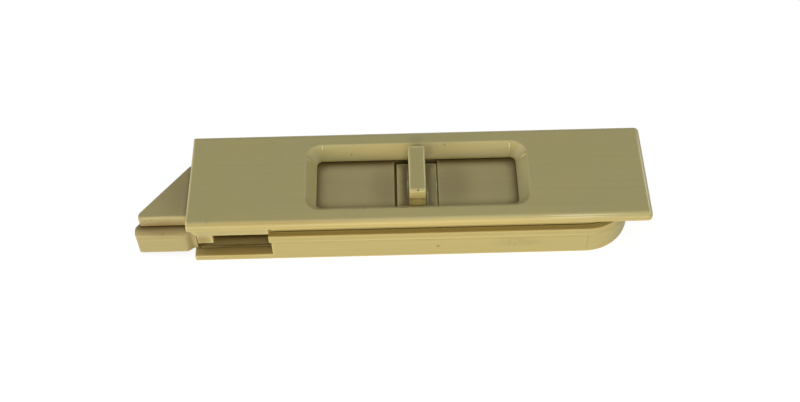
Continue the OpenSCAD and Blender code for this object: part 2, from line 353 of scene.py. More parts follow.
    @staticmethod
    def round_sharp(piece: bpy.types.Object, test: EdgeTest, radius: float, segments: int = 3,
                    angle: float = SHARP) -> None:
        """Rounds the sharp edges whose two ends pass a test.

        Args:
            piece: The object to work on.
            test: The test on an edge's two ends.
            radius: Radius of the rounding.
            segments: Number of faces across the rounding.
            angle: Angle between two faces from which their edge is sharp.
        """
        with Bench.editing(piece, Pick.EDGES) as mesh:
            mesh.normal_update()
            for edge in mesh.edges:
                sharp = len(edge.link_faces) == 2 and edge.calc_face_angle(0.0) > angle
                if sharp and test(edge.verts[0].co, edge.verts[1].co):
                    edge.select_set(True)
            mesh.select_flush_mode()
            bpy.ops.mesh.bevel(offset=radius, segments=segments, affect="EDGES")

    @staticmethod
    def combine(piece: bpy.types.Object, how: Join, *tools: bpy.types.Object) -> None:
        """Combines a solid in turn with others, which are used up.

        Args:
            piece: The solid that stays.
            how: The way in which they are combined.
            tools: The solids that are used up.
        """
        for tool in tools:
            modifier = piece.modifiers.new("join", "BOOLEAN")
            modifier.operation = how.value
            modifier.solver = "EXACT"
            modifier.object = tool
            Bench.only(piece)
            bpy.ops.object.modifier_apply(modifier=modifier.name)
            bpy.data.objects.remove(tool, do_unlink=True)

    @staticmethod
    def finish(piece: bpy.types.Object, smooth: float = SHARP) -> None:
        """Cleans a piece's mesh and shades it with flat faces flat and round ones smooth.

        Args:
            piece: The object to finish.
            smooth: Angle between two faces up to which they are shaded as one.
        """
        with Bench.editing(piece, Pick.POINTS):
            bpy.ops.mesh.select_all(action="SELECT")
            bpy.ops.mesh.remove_doubles(threshold=NEAR)
            bpy.ops.mesh.dissolve_degenerate(threshold=NEAR)
            bpy.ops.mesh.normals_make_consistent(inside=False)
        Bench.only(piece)
        bpy.ops.object.shade_smooth_by_angle(angle=smooth)
        modifier = piece.modifiers.new("weigh", "WEIGHTED_NORMAL")
        modifier.keep_sharp = True
        bpy.ops.object.modifier_apply(modifier=modifier.name)


class NodeSheet:
    """Short calls that build the nodes of one material or of the world."""

    def __init__(self, owner: bpy.types.Material | bpy.types.World) -> None:
        """Starts with an empty node tree.

        Args:
            owner: The material or world that the nodes belong to.
        """
        owner.use_nodes = True
        self.tree = owner.node_tree
        self.tree.nodes.clear()

    def node(self, kind: str, inputs: dict[str | int, Any] | None = None, **settings: Any) -> bpy.types.Node:
        """Adds a node.

        Args:
            kind: The node's type.
            inputs: Values or sockets for its inputs, by name or number.
            settings: Values for its own properties.

        Returns:
            The new node.
        """
        node = self.tree.nodes.new(kind)
        for key, value in settings.items():
            setattr(node, key, value)
        for key, value in (inputs or {}).items():
            if isinstance(value, bpy.types.NodeSocket):
                self.tree.links.new(value, node.inputs[key])
            else:
                node.inputs[key].default_value = value
        return node

    def math(self, operation: Calc, first: Any, second: Any = 0.0,
             clamp: bool = False) -> bpy.types.NodeSocket:
        """Adds an operation on two values.

        Args:
            operation: The operation.
            first: The first value or socket.
            second: The second value or socket.
            clamp: Whether the result is kept between 0 and 1.

        Returns:
            The result.
        """
        node = self.node(
            "ShaderNodeMath", {0: first, 1: second}, operation=operation.value, use_clamp=clamp
        )
        return node.outputs[0]

    def span(self, value: bpy.types.NodeSocket, low: float, high: float, start: float = 0.0,
             end: float = 1.0) -> bpy.types.NodeSocket:
        """Maps a value from low..high smoothly to start..end.

        Args:
            value: The value to map.
            low: Where the smooth step begins.
            high: Where it ends.
            start: Result below low.
            end: Result above high.

        Returns:
            The mapped value.
        """
        node = self.node(
            "ShaderNodeMapRange",
            {"Value": value, "From Min": low, "From Max": high, "To Min": start, "To Max": end},
            interpolation_type="SMOOTHSTEP",
        )
        return node.outputs[0]

    def noise(self, place: bpy.types.NodeSocket, scale: float, detail: float = 2.0,
              roughness: float = 0.5) -> bpy.types.NodeSocket:
        """Adds a noise texture.

        Args:
            place: The coordinates.
            scale: Scale of the broadest layer.
            detail: Number of finer layers.
            roughness: Strength of the finer layers.

        Returns:
            The noise's value.
        """
        node = self.node(
            "ShaderNodeTexNoise",
            {"Vector": place, "Scale": scale, "Detail": detail, "Roughness": roughness},
        )
        return node.outputs["Fac"]

    def mix(self, factor: Any, first: Any, second: Any,
            blend: Blend = Blend.MIX) -> bpy.types.NodeSocket:
        """Mixes two colours.

        Args:
            factor: Share of the second colour.
            first: The first colour.
            second: The second colour.
            blend: The way in which they are mixed.

        Returns:
            The mixed colour.
        """
        node = self.node("ShaderNodeMix", data_type="RGBA", blend_type=blend.value)
        for key, value in ((0, factor), (6, first), (7, second)):
            if isinstance(value, bpy.types.NodeSocket):
                self.tree.links.new(value, node.inputs[key])
            elif isinstance(value, tuple):
                node.inputs[key].default_value = (*value, 1.0)
            else:
                node.inputs[key].default_value = value
        return node.outputs[2]


@dataclass(frozen=True)
class ColourMark:
    """A coloured mark on a moulding, with its middle and half sizes; marks are dust, stains and nicks, and
    painted shade, shadows, light and highlights.
    """

    where: str
    middle: Triple
    reach: Triple
    strength: float
    colour: Colour
    broken: float = 0.0

    @classmethod
    def at(cls, where: str, middle: Triple, reach: Triple, strength: float, colour: Colour,
           broken: float = 0.0) -> "ColourMark":
        """Makes a mark from lengths in millimetres.

        Args:
            where: What the mark lies on.
            middle: Its middle, along, across and over the plate's seat.
            reach: Its half sizes.
            strength: Share of its colour in its middle.
            colour: Its colour.
            broken: How far noise breaks it up.

        Returns:
            The mark.
        """
        place, size = (tuple(length * MM for length in lengths) for lengths in (middle, reach))
        return cls(where, place, size, strength, colour, broken)


@dataclass(frozen=True)
class MouldedPlastic:
    """Satin moulded plastic with faint mottling, flow lines, specks, painted shade in inner corners, painted
    highlights on outer edges, and marks of dust, stains and painted light.
    """

    name: str
    colour: Colour
    cool_colour: Colour
    # Colour of the painted shade in inner corners.
    corner_shade_colour: Colour = (0.12, 0.08, 0.026)
    speck_colour: Colour = (0.13, 0.08, 0.03)
    # Colour of the painted highlight on outer edges.
    edge_highlight_colour: Colour = (0.66, 0.525, 0.205)
    roughness: float = 0.3
    # Strength and reach of the painted shade in inner corners.
    corner_shade: float = 0.45
    corner_shade_reach: float = 1.6 * MM
    # Strength and reach of the painted highlight on outer edges.
    edge_highlight: float = 0.55
    edge_highlight_reach: float = 0.8 * MM
    sheen: float = 0.3
    corner_from: float = 0.3
    flow_stretch: Triple = (16.0, 1400.0, 1400.0)
    tone_scale: float = 60.0
    fine_scale: float = 1500.0
    rough_scale: float = 90.0
    rough_spread: tuple[float, float] = (-0.015, 0.025)
    edge_polish: float = 0.1
    refraction: float = 1.49
    speck_scale: float = 110.0
    break_scale: float = 700.0
    wave_scale: float = 110.0
    wave_depth: float = 0.05 * MM
    grain_scale: float = 5200.0
    grain_depth: float = 0.008 * MM
    marks: tuple[ColourMark, ...] = ()

    def build(self) -> bpy.types.Material:
        """Builds the material's nodes.

        Returns:
            The material.
        """
        material = bpy.data.materials.new(self.name)
        sheet = NodeSheet(material)
        place = sheet.node("ShaderNodeTexCoord").outputs["Object"]
        highlit_edges = self.highlight_edge_mask(sheet)
        colour = self.paint(sheet, place, highlit_edges)
        rough_low, rough_high = (self.roughness + step for step in self.rough_spread)
        rough = sheet.span(sheet.noise(place, self.rough_scale, 1.0), 0.2, 0.8, rough_low, rough_high)
        rough = sheet.math(Calc.SUBTRACT, rough, sheet.math(Calc.MULTIPLY, highlit_edges, self.edge_polish))
        shader = sheet.node(
            "ShaderNodeBsdfPrincipled",
            {
                "Base Color": colour,
                "Roughness": rough,
                "Normal": self.grain(sheet, place),
                "IOR": self.refraction,
                "Specular IOR Level": self.sheen,
            },
        )
        sheet.node("ShaderNodeOutputMaterial", {"Surface": shader.outputs["BSDF"]})
        return material

    def highlight_edge_mask(self, sheet: NodeSheet) -> bpy.types.NodeSocket:
        """Masks the outer edges, which get a painted highlight and a lower roughness.

        Args:
            sheet: The material's nodes.

        Returns:
            1 on outer edges and 0 on flat faces.
        """
        inside = sheet.node(
            "ShaderNodeAmbientOcclusion", {"Distance": self.edge_highlight_reach},
            inside=True, only_local=True, samples=16,
        )
        return sheet.span(inside.outputs["AO"], 0.8, 0.99, 1.0, 0.0)

    def paint(self, sheet: NodeSheet, place: bpy.types.NodeSocket,
              highlit_edges: bpy.types.NodeSocket) -> bpy.types.NodeSocket:
        """Mixes the moulding's colour from its tone, flow lines, specks and marks, with painted shade in
        inner corners and painted highlights on outer edges.

        Args:
            sheet: The material's nodes.
            place: Object coordinates.
            highlit_edges: Mask of the edges with the painted highlight.

        Returns:
            The colour.
        """
        broad = sheet.span(sheet.noise(place, self.tone_scale, 2.0), 0.25, 0.75)
        colour = sheet.mix(broad, self.colour, self.cool_colour)
        stretched = sheet.node("ShaderNodeMapping", {"Vector": place, "Scale": self.flow_stretch})
        flow = sheet.span(sheet.noise(stretched.outputs[0], 1.0, 2.0), 0.3, 0.7, 0.982, 1.018)
        fine = sheet.span(sheet.noise(place, self.fine_scale, 2.0, 0.6), 0.3, 0.7, 0.985, 1.015)
        tone = sheet.math(Calc.MULTIPLY, flow, fine)
        grey = sheet.node("ShaderNodeCombineColor", {0: tone, 1: tone, 2: tone}).outputs[0]
        colour = sheet.mix(1.0, colour, grey, Blend.MULTIPLY)
        colour = sheet.mix(self.specks(sheet, place), colour, self.speck_colour)
        # Painted shade in inner corners.
        colour = sheet.mix(self.shaded_corners(sheet), colour, self.corner_shade_colour)
        # Painted highlight on outer edges.
        colour = sheet.mix(sheet.math(Calc.MULTIPLY, highlit_edges, self.edge_highlight), colour, self.edge_highlight_colour)
        # Marks: dust, stains and nicks, and painted shade, shadows, light and highlights.
        for mark in self.marks:
            colour = sheet.mix(self.mark_mask(sheet, place, mark), colour, mark.colour)
        return colour

    def shaded_corners(self, sheet: NodeSheet) -> bpy.types.NodeSocket:
        """Masks the painted shade in inner corners, which is strongest on faces that look up.

        Args:
            sheet: The material's nodes.

        Returns:
            Share of the painted shade.
        """
        corner = sheet.node("ShaderNodeAmbientOcclusion", {"Distance": self.corner_shade_reach}, samples=12)
        corner_shade_share = sheet.span(corner.outputs["AO"], self.corner_from, 0.99, self.corner_shade, 0.0)
        facing = sheet.node("ShaderNodeNewGeometry").outputs["Normal"]
        up = sheet.node("ShaderNodeSeparateXYZ", {0: facing}).outputs["Z"]
        return sheet.math(Calc.MULTIPLY, corner_shade_share, sheet.span(up, 0.0, 0.9, 0.35, 1.0))

    def specks(self, sheet: NodeSheet, place: bpy.types.NodeSocket) -> bpy.types.NodeSocket:
        """Masks a few small dark specks.

        Args:
            sheet: The material's nodes.
            place: Object coordinates.

        Returns:
            Share of the specks.
        """
        cells = sheet.node("ShaderNodeTexVoronoi", {"Vector": place, "Scale": self.speck_scale})
        dot = sheet.span(cells.outputs["Distance"], 0.012, 0.035, 0.4, 0.0)
        pick = sheet.node("ShaderNodeSeparateColor", {"Color": cells.outputs["Color"]})
        few = sheet.math(Calc.GREATER, pick.outputs[0], 0.8)
        return sheet.math(Calc.MULTIPLY, dot, few)

    def mark_mask(self, sheet: NodeSheet, place: bpy.types.NodeSocket,
                    mark: ColourMark) -> bpy.types.NodeSocket:
        """Masks one mark softly, broken up by noise as far as it asks for.

        Args:
            sheet: The material's nodes.
            place: Object coordinates.
            mark: The mark.

        Returns:
            Share of the mark.
        """
        scale = tuple(1.0 / reach for reach in mark.reach)
        offset = tuple(-middle / reach for middle, reach in zip(mark.middle, mark.reach))
        local = sheet.node(
            "ShaderNodeMapping", {"Vector": place, "Scale": scale, "Location": offset}, label=mark.where
        )
        away = sheet.node("ShaderNodeVectorMath", {0: local.outputs[0]}, operation="LENGTH").outputs["Value"]
        patches = sheet.noise(place, self.break_scale, 4.0, 0.65)
        broken = sheet.span(patches, 0.38, 0.66, 1.0 - mark.broken, 1.0)
        near_middle = sheet.span(away, 0.25, 1.0, mark.strength, 0.0)
        return sheet.math(Calc.MULTIPLY, near_middle, broken)

    def grain(self, sheet: NodeSheet, place: bpy.types.NodeSocket) -> bpy.types.NodeSocket:
        """Lays a fine moulded grain over slow waves.

        Args:
            sheet: The material's nodes.
            place: Object coordinates.

        Returns:
            The normal.
        """
        waves = sheet.node(
            "ShaderNodeBump",
            {
                "Strength": 0.06,
                "Distance": self.wave_depth,
                "Height": sheet.noise(place, self.wave_scale, 0.0),
            },
        )
        fine = sheet.node(
            "ShaderNodeBump",
            {
                "Strength": 0.3,
                "Distance": self.grain_depth,
                "Height": sheet.noise(place, self.grain_scale, 2.0),
                "Normal": waves.outputs["Normal"],
            },
        )
        return fine.outputs["Normal"]


@dataclass(frozen=True)
class SpringWire:
    """Bright drawn steel wire with faint draw lines and a trace of oil."""

    name: str
    colour: Colour = (0.52, 0.52, 0.54)
    oil_colour: Colour = (0.30, 0.27, 0.22)
    roughness: float = 0.28
    rough_spread: float = 0.15
    oil_scale: float = 420.0
    rough_scale: float = 2600.0
    line_scale: float = 6000.0
    line_depth: float = 0.01 * MM

    def build(self) -> bpy.types.Material:
        """Builds the material's nodes.

        Returns:
            The material.
        """
        material = bpy.data.materials.new(self.name)
        sheet = NodeSheet(material)
        place = sheet.node("ShaderNodeTexCoord").outputs["Object"]
        oil = sheet.span(sheet.noise(place, self.oil_scale, 3.0), 0.45, 0.75, 0.0, 0.6)
        colour = sheet.mix(oil, self.colour, self.oil_colour)
        rough_high = self.roughness + self.rough_spread
        rough = sheet.span(sheet.noise(place, self.rough_scale, 2.0), 0.3, 0.7, self.roughness, rough_high)
        lines = sheet.node(
            "ShaderNodeBump",
            {
                "Strength": 0.2,
                "Distance": self.line_depth,
                "Height": sheet.noise(place, self.line_scale, 1.0),
            },
        )
        shader = sheet.node(
            "ShaderNodeBsdfPrincipled",
            {"Base Color": colour, "Roughness": rough, "Metallic": 1.0, "Normal": lines.outputs["Normal"]},
        )
        sheet.node("ShaderNodeOutputMaterial", {"Surface": shader.outputs["BSDF"]})
        return material


@dataclass(frozen=True)
class Layout:
    """Places and sizes that more than one piece shares, in metres."""

    plate_low: Vector
    plate_high: Vector
    tray_low: Vector
    tray_high: Vector
    bolt_low: Vector
    bolt_high: Vector
    pull_low: Vector
    pull_high: Vector
    spring_low: Vector
    spring_high: Vector
    wall_tray: float = 2.0 * MM
    wall_skirt: float = 1.25 * MM
    fit_gap: float = 0.2 * MM
    slide_gap: float = 0.3 * MM
    snug_gap: float = 0.1 * MM
    floor_thick: float = 2.1 * MM
    rim_depth: float = 1.4 * MM
    window_x: float = -0.2 * MM
    window_lap: float = 0.95 * MM
    foot_out: float = 1.35 * MM
    foot_height: float = 4.4 * MM
    block_height: float = 8.0 * MM
    stop_length: float = 1.6 * MM
    notch_spare: float = 5.8 * MM
    bead_radius: float = 0.45 * MM
    bead_inset: float = 3.0 * MM
    post_width: float = 4.0 * MM
    pin_width: float = 2.4 * MM
    pin_length: float = 2.6 * MM
    base_length: float = 10.8 * MM
    base_thick: float = 2.0 * MM
    core_wall: float = 2.0 * MM
    leg_thick: float = 1.6 * MM
    leg_width: float = 6.0 * MM
    hook_out: float = 0.6 * MM

    @classmethod
    def from_frame(cls) -> "Layout":
        """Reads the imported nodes' boxes.

        Returns:
            The layout.
        """
        nodes = ("face_plate", "body_tray", "latch_bolt", "finger_pull", "return_spring")
        corners = [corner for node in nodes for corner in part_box(node)]
        return cls(*corners)

    @property
    def mouth_x(self) -> float:
        """Place of the open end, where the bolt leaves."""
        return self.plate_low.x

    @property
    def top_z(self) -> float:
        """Height of the plate's face above its seat."""
        return self.plate_high.z

    @property
    def tray_half(self) -> float:
        """Half of the tray's outer width."""
        return self.tray_high.y

    @property
    def tray_in_half(self) -> float:
        """Half of the tray's inner width."""
        return self.tray_half - self.wall_tray

    @property
    def skirt_half(self) -> float:
        """Half of the skirt's outer width."""
        return self.tray_in_half - self.fit_gap

    @property
    def skirt_in_half(self) -> float:
        """Half of the skirt's inner width."""
        return self.skirt_half - self.wall_skirt

    @property
    def bar_half(self) -> float:
        """Half of the bolt's width."""
        return self.bolt_high.y - self.foot_out

    @property
    def arc_x(self) -> float:
        """Middle of the body's half round end."""
        return self.tray_high.x - self.tray_half

    @property
    def floor_z(self) -> float:
        """Top of the tray's floor."""
        return self.tray_low.z + self.floor_thick

    @property
    def rim_z(self) -> float:
        """Top of the tray's wall."""
        return self.tray_high.z

    @property
    def foot_z(self) -> float:
        """Underside of the bolt."""
        return self.bolt_low.z

    @property
    def foot_top_z(self) -> float:
        """Top of the bolt's wide foot."""
        return self.foot_z + self.foot_height

    @property
    def block_top_z(self) -> float:
        """Top of the bolt's guide block."""
        return self.foot_z + self.block_height

    @property
    def skirt_z(self) -> float:
        """Lower edge of the skirt."""
        return self.foot_top_z + self.slide_gap

    @property
    def bolt_z(self) -> float:
        """Top of the bolt."""
        return self.bolt_high.z

    @property
    def axis_z(self) -> float:
        """Height of the spring's axis."""
        return (self.spring_low.z + self.spring_high.z) / 2

    @property
    def bead_z(self) -> float:
        """Height of the snap bead."""
        return (self.skirt_z + self.rim_z) / 2

    @property
    def travel(self) -> float:
        """Travel of the bolt."""
        return frame["joints"][0]["range_m"][1]

    @property
    def notch_x(self) -> float:
        """End of the notch in the tray's front wall."""
        return self.mouth_x + self.travel + self.notch_spare

    @property
    def window_half(self) -> float:
        """Half of the window's width at its inner edge."""
        return self.bar_half - self.window_lap

    @property
    def post_x(self) -> float:
        """Place of the two posts along the latch."""
        return self.arc_x + self.post_width

    @property
    def post_y(self) -> float:
        """Place of the two posts across the latch."""
        return self.skirt_in_half - self.post_width / 2

    @property
    def seat_x(self) -> float:
        """Face of the spring's seat."""
        return self.spring_high.x + self.fit_gap

    @property
    def bore_x(self) -> float:
        """Bottom of the spring's bore in the bolt."""
        return self.spring_low.x - self.fit_gap

    @property
    def slot_z(self) -> float:
        """Underside of the pull's base."""
        return self.bolt_z - self.fit_gap - self.base_thick

    @property
    def web_z(self) -> float:
        """Underside of the web that the pull's legs hook under."""
        return self.slot_z - self.core_wall

    @property
    def leg_x(self) -> float:
        """Inner face of the pull's legs, from the pull's middle."""
        return self.base_length / 2 - self.leg_thick - self.snug_gap - self.core_wall / 2


class Piece(ABC):
    """One piece of the latch: modelled, finished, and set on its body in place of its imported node."""

    layout: Layout
    finish: MouldedPlastic | SpringWire
    name: str
    node: str
    body: str
    slot: str

    @abstractmethod
    def model(self) -> bpy.types.Object:
        """Models the piece and returns its object."""

    def place(self) -> bpy.types.Object:
        """Models and dresses the piece and sets it on its body.

        Returns:
            The piece's object.
        """
        piece = self.model()
        piece.name = self.name
        piece.data.name = self.name
        Bench.finish(piece)
        piece.data.materials.clear()
        piece.data.materials.append(self.finish.build())
        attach(piece, self.body)
        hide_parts(self.node)
        LOG.info("%s: %d faces, rides on %s", piece.name, len(piece.data.polygons), self.body)
        return piece

    def side_rods(self, name: str, radius: float) -> list[bpy.types.Object]:
        """Lays a rod along each side of the skirt, where the snap beads and their grooves run.

        Args:
            name: First part of the rods' names.
            radius: Radius of the rods.

        Returns:
            The two rods.
        """
        start = self.layout.notch_x + self.layout.bead_inset
        end = self.layout.arc_x - self.layout.bead_inset
        return [
            Bench.rod(
                f"{name}_{side}",
                Vector((start, side * self.layout.skirt_half, self.layout.bead_z)),
                Vector((end, side * self.layout.skirt_half, self.layout.bead_z)),
                radius,
                24,
            )
            for side in SIDES
        ]


@dataclass
class FacePlate(Piece):
    """Plate with its sloped window, guide skirt, front lip, posts and spring seat."""

    layout: Layout
    finish: MouldedPlastic
    name: str = "face_plate_moulding"
    node: str = "face_plate"
    body: str = "housing"
    slot: str = "plate_moulding"
    edge_radius: float = 1.7 * MM
    end_radius: float = 1.25 * MM
    end_break: float = 0.25 * MM
    window_length: float = 58.7 * MM
    window_run: float = 2.8 * MM
    window_radius: float = 1.5 * MM
    window_land: float = 0.45 * MM
    window_lip_radius: float = 0.3 * MM
    knee_radius: float = 0.5 * MM
    ridge_radius: float = 0.22 * MM
    skirt_root: float = 0.25 * MM
    skirt_edge_radius: float = 0.2 * MM
    lip_start: float = 0.4 * MM
    lip_slope: float = 1.9 * MM
    lip_height: float = 2.4 * MM
    lip_thick: float = 1.65 * MM
    lip_inset: float = 0.25 * MM
    lip_length: float = 20.6 * MM
    lip_corner_radius: float = 0.3 * MM
    lip_edge_break: float = 0.15 * MM
    tab_length: float = 4.1 * MM
    tab_height: float = 3.2 * MM
    tab_root_radius: float = 0.25 * MM
    seat_thick: float = 2.0 * MM
    peg_length: float = 4.0 * MM
    peg_radius: float = 2.2 * MM
    peg_tip_radius: float = 0.5 * MM
    pin_tip_radius: float = 0.3 * MM
    spare: float = 1.0 * MM

    def model(self) -> bpy.types.Object:
        """Models the plate.

        Returns:
            The plate's object.
        """
        plate = self.slab()
        Bench.combine(plate, Join.WELD, self.window_frame())
        Bench.combine(plate, Join.CUT, self.window_cutter())
        self.soften_window(plate)
        beads = self.side_rods("bead", self.layout.bead_radius)
        Bench.combine(
            plate, Join.WELD, self.skirt(), self.front_lip(), self.spring_seat(), *beads, *self.posts(),
            *self.ridges(),
        )
        return plate

    def slab(self) -> bpy.types.Object:
        """Models the plate with soft long edges, a soft far end and a square end at the nose.

        Returns:
            The plain plate.
        """
        start, end = self.layout.mouth_x, self.layout.plate_high.x
        half, top = self.layout.plate_high.y, self.layout.top_z
        section = [(-half, 0.0), (-half, top), (half, top), (half, 0.0)]
        plate = Bench.outline(
            "slab", [Vector((start, y, z)) for y, z in section],
            {1: self.edge_radius, 2: self.edge_radius}, segments=10,
        )
        Bench.raised(plate, Vector((end - start, 0.0, 0.0)))
        Bench.round_edges(
            plate, lambda a, b: near(a.x, end) and near(b.x, end) and max(a.z, b.z) > NEAR, self.end_radius, 8
        )
        Bench.round_edges(plate, lambda a, b: near(a.x, start) and near(b.x, start), self.end_break, 3)
        return plate

    def window_frame(self) -> bpy.types.Object:
        """Models the block under the plate that carries the window's sloped walls.

        Returns:
            The block.
        """
        half_l = self.window_length / 2
        half_w = min(self.layout.window_half + self.window_run, self.layout.skirt_half)
        middle = self.layout.window_x
        return Bench.block(
            "window_frame",
            Vector((middle - half_l, -half_w, -self.layout.rim_depth)),
            Vector((middle + half_l, half_w, self.layout.top_z / 2)),
        )

    def window_cutter(self) -> bpy.types.Object:
        """Models the tapered block, with round corners and a straight foot, for the window.

        Returns:
            The cutter.
        """
        depth = self.layout.top_z + self.layout.rim_depth - self.window_land
        widen = self.spare * self.window_run / depth
        run = self.window_run + widen
        half = Vector((self.window_length / 2 + widen, self.layout.window_half + run, 0.0))
        middle = Vector((self.layout.window_x, 0.0, self.layout.top_z + self.spare))
        cutter = Bench.block("window_cutter", middle - half, middle + half + Vector((0.0, 0.0, self.spare)))
        Bench.round_edges(cutter, lambda a, b: not near(a.z, b.z), self.window_radius + run, 12)
        with Bench.editing(cutter, Pick.FACES) as mesh:
            Bench.pick_faces(mesh, lambda face: face.normal.z < -0.9)
            bpy.ops.mesh.inset(thickness=run, use_even_offset=True)
            bpy.ops.transform.translate(value=(0.0, 0.0, -depth - self.spare))
            bpy.ops.mesh.extrude_region_move(
                TRANSFORM_OT_translate={"value": (0.0, 0.0, -self.window_land - self.spare)}
            )
        knee_z = self.window_land - self.layout.rim_depth
        Bench.round_edges(cutter, lambda a, b: near(a.z, knee_z) and near(b.z, knee_z), self.knee_radius, 4)
        return cutter

    def soften_window(self, plate: bpy.types.Object) -> None:
        """Rounds the window's upper edge.

        Args:
            plate: The plate with its window cut.
        """
        reach_l = self.window_length / 2 + NEAR
        reach_w = self.layout.window_half + self.window_run + NEAR

        def on_window(point: Vector) -> bool:
            """Tells whether a point lies on the window's upper outline."""
            inside = abs(point.x - self.layout.window_x) < reach_l and abs(point.y) < reach_w
            return inside and near(point.z, self.layout.top_z)

        Bench.round_sharp(plate, lambda a, b: on_window(a) and on_window(b), self.window_lip_radius, 5)

    def skirt(self) -> bpy.types.Object:
        """Models the skirt that guides the bolt, cut away over the tray's notch.

        Returns:
            The skirt.
        """
        start = self.layout.mouth_x + self.layout.stop_length
        section = [
            (-self.layout.skirt_half, self.layout.skirt_z),
            (-self.layout.skirt_half, self.skirt_root),
            (-self.layout.skirt_in_half, self.skirt_root),
            (-self.layout.skirt_in_half, self.layout.skirt_z),
        ]
        outline = Bench.outline(
            "skirt", [Vector((start, y, z)) for y, z in section],
            {0: self.skirt_edge_radius, 3: self.skirt_edge_radius},
        )
        skirt = Bench.round_sweep(outline, start, self.layout.arc_x)
        cutter = Bench.block(
            "skirt_notch",
            Vector((
                start - self.spare,
                -self.layout.skirt_half - self.spare,
                self.layout.skirt_z - self.spare,
            )),
            Vector((
                self.layout.notch_x + self.layout.fit_gap,
                0.0,
                self.layout.block_top_z + self.layout.slide_gap,
            )),
        )
        Bench.combine(skirt, Join.CUT, cutter)
        return skirt

    def front_lip(self) -> bpy.types.Object:
        """Models the lip under the plate's front edge with its hanging tab.

        Returns:
            The lip.
        """
        front = self.layout.plate_low.y + self.lip_inset
        lip_x = self.layout.mouth_x + self.lip_start
        tab_x = lip_x + self.lip_slope
        lip_z = -self.lip_height
        tab_z = lip_z - self.tab_height
        root_z = self.layout.top_z / 4
        lip_end_x, tab_end_x = lip_x + self.lip_length, tab_x + self.tab_length
        corners = [
            (lip_x, root_z), (lip_x, 0.0), (tab_x, lip_z), (tab_x, tab_z), (tab_end_x, tab_z),
            (tab_end_x, lip_z), (lip_end_x, lip_z), (lip_end_x, root_z),
        ]
        radius = self.lip_corner_radius
        lip = Bench.outline(
            "front_lip", [Vector((x, front, z)) for x, z in corners],
            {3: radius, 4: radius, 5: self.tab_root_radius, 6: radius},
        )
        Bench.raised(lip, Vector((0.0, self.lip_thick, 0.0)))
        Bench.round_edges(
            lip, lambda a, b: near(a.y, front) and near(b.y, front) and min(a.z, b.z) < -NEAR,
            self.lip_edge_break, 3,
        )
        return lip

    def spring_seat(self) -> bpy.types.Object:
        """Models the spring's flat seat with its peg.

        Returns:
            The seat.
        """
        radius = (self.layout.spring_high.y - self.layout.spring_low.y) / 2
        start = Vector((self.layout.seat_x, 0.0, self.layout.axis_z))
        end = start + Vector((self.seat_thick + self.layout.wall_skirt / 2, 0.0, 0.0))
        seat = Bench.rod("spring_seat", start, end, radius)
        with Bench.editing(seat, Pick.FACES) as mesh:
            Bench.pick_faces(mesh, lambda face: face.normal.x < -0.9)
            bpy.ops.mesh.inset(thickness=radius - self.peg_radius)
            bpy.ops.mesh.extrude_region_move(
                TRANSFORM_OT_translate={"value": (-self.peg_length, 0.0, 0.0)}
            )
        tip = start.x - self.peg_length
        Bench.round_edges(seat, lambda a, b: near(a.x, tip) and near(b.x, tip), self.peg_tip_radius, 4)
        return seat

    def posts(self) -> list[bpy.types.Object]:
        """Models the two posts with their pins.

        Returns:
            The posts.
        """
        posts = []
        for side in SIDES:
            place = Vector((self.layout.post_x, side * self.layout.post_y, 0.0))
            foot = place + Vector((0.0, 0.0, self.layout.foot_top_z))
            post = Bench.rod(f"post_{side}", foot, place + Vector((0.0, 0.0, self.layout.top_z / 2)),
                             self.layout.post_width / 2)
            with Bench.editing(post, Pick.FACES) as mesh:
                Bench.pick_faces(mesh, lambda face: face.normal.z < -0.9)
                bpy.ops.mesh.inset(thickness=(self.layout.post_width - self.layout.pin_width) / 2)
                bpy.ops.mesh.extrude_region_move(
                    TRANSFORM_OT_translate={"value": (0.0, 0.0, -self.layout.pin_length)}
                )
            tip = foot.z - self.layout.pin_length
            Bench.round_edges(
                post, lambda a, b: near(a.z, tip) and near(b.z, tip), self.pin_tip_radius, 3
            )
            posts.append(post)
        return posts

    def ridges(self) -> list[bpy.types.Object]:
        """Models the fine moulding ridges where the window's walls run into its far corners.

        Returns:
            The ridges.
        """
        low_z = self.window_land - self.layout.rim_depth + self.knee_radius / 2
        high_z = self.layout.top_z - self.window_lip_radius / 2
        depth = self.layout.top_z + self.layout.rim_depth - self.window_land
        half_l = self.window_length / 2 - self.window_run - self.window_radius
        half_w = self.layout.window_half - self.window_radius
        ridges = []
        for right in SIDES:
            corner = Vector((self.layout.window_x + right * half_l, half_w, 0.0))
            for way in (Vector((right, 0.0, 0.0)), Vector((0.0, 1.0, 0.0))):
                ends = [
                    corner + Vector((0.0, 0.0, z)) + way * (
                        self.window_radius
                        + self.window_run * (z + self.layout.rim_depth - self.window_land) / depth
                    )
                    for z in (low_z, high_z)
                ]
                ridges.append(Bench.rod(f"ridge_{len(ridges)}", *ends, self.ridge_radius, 8))
        return ridges


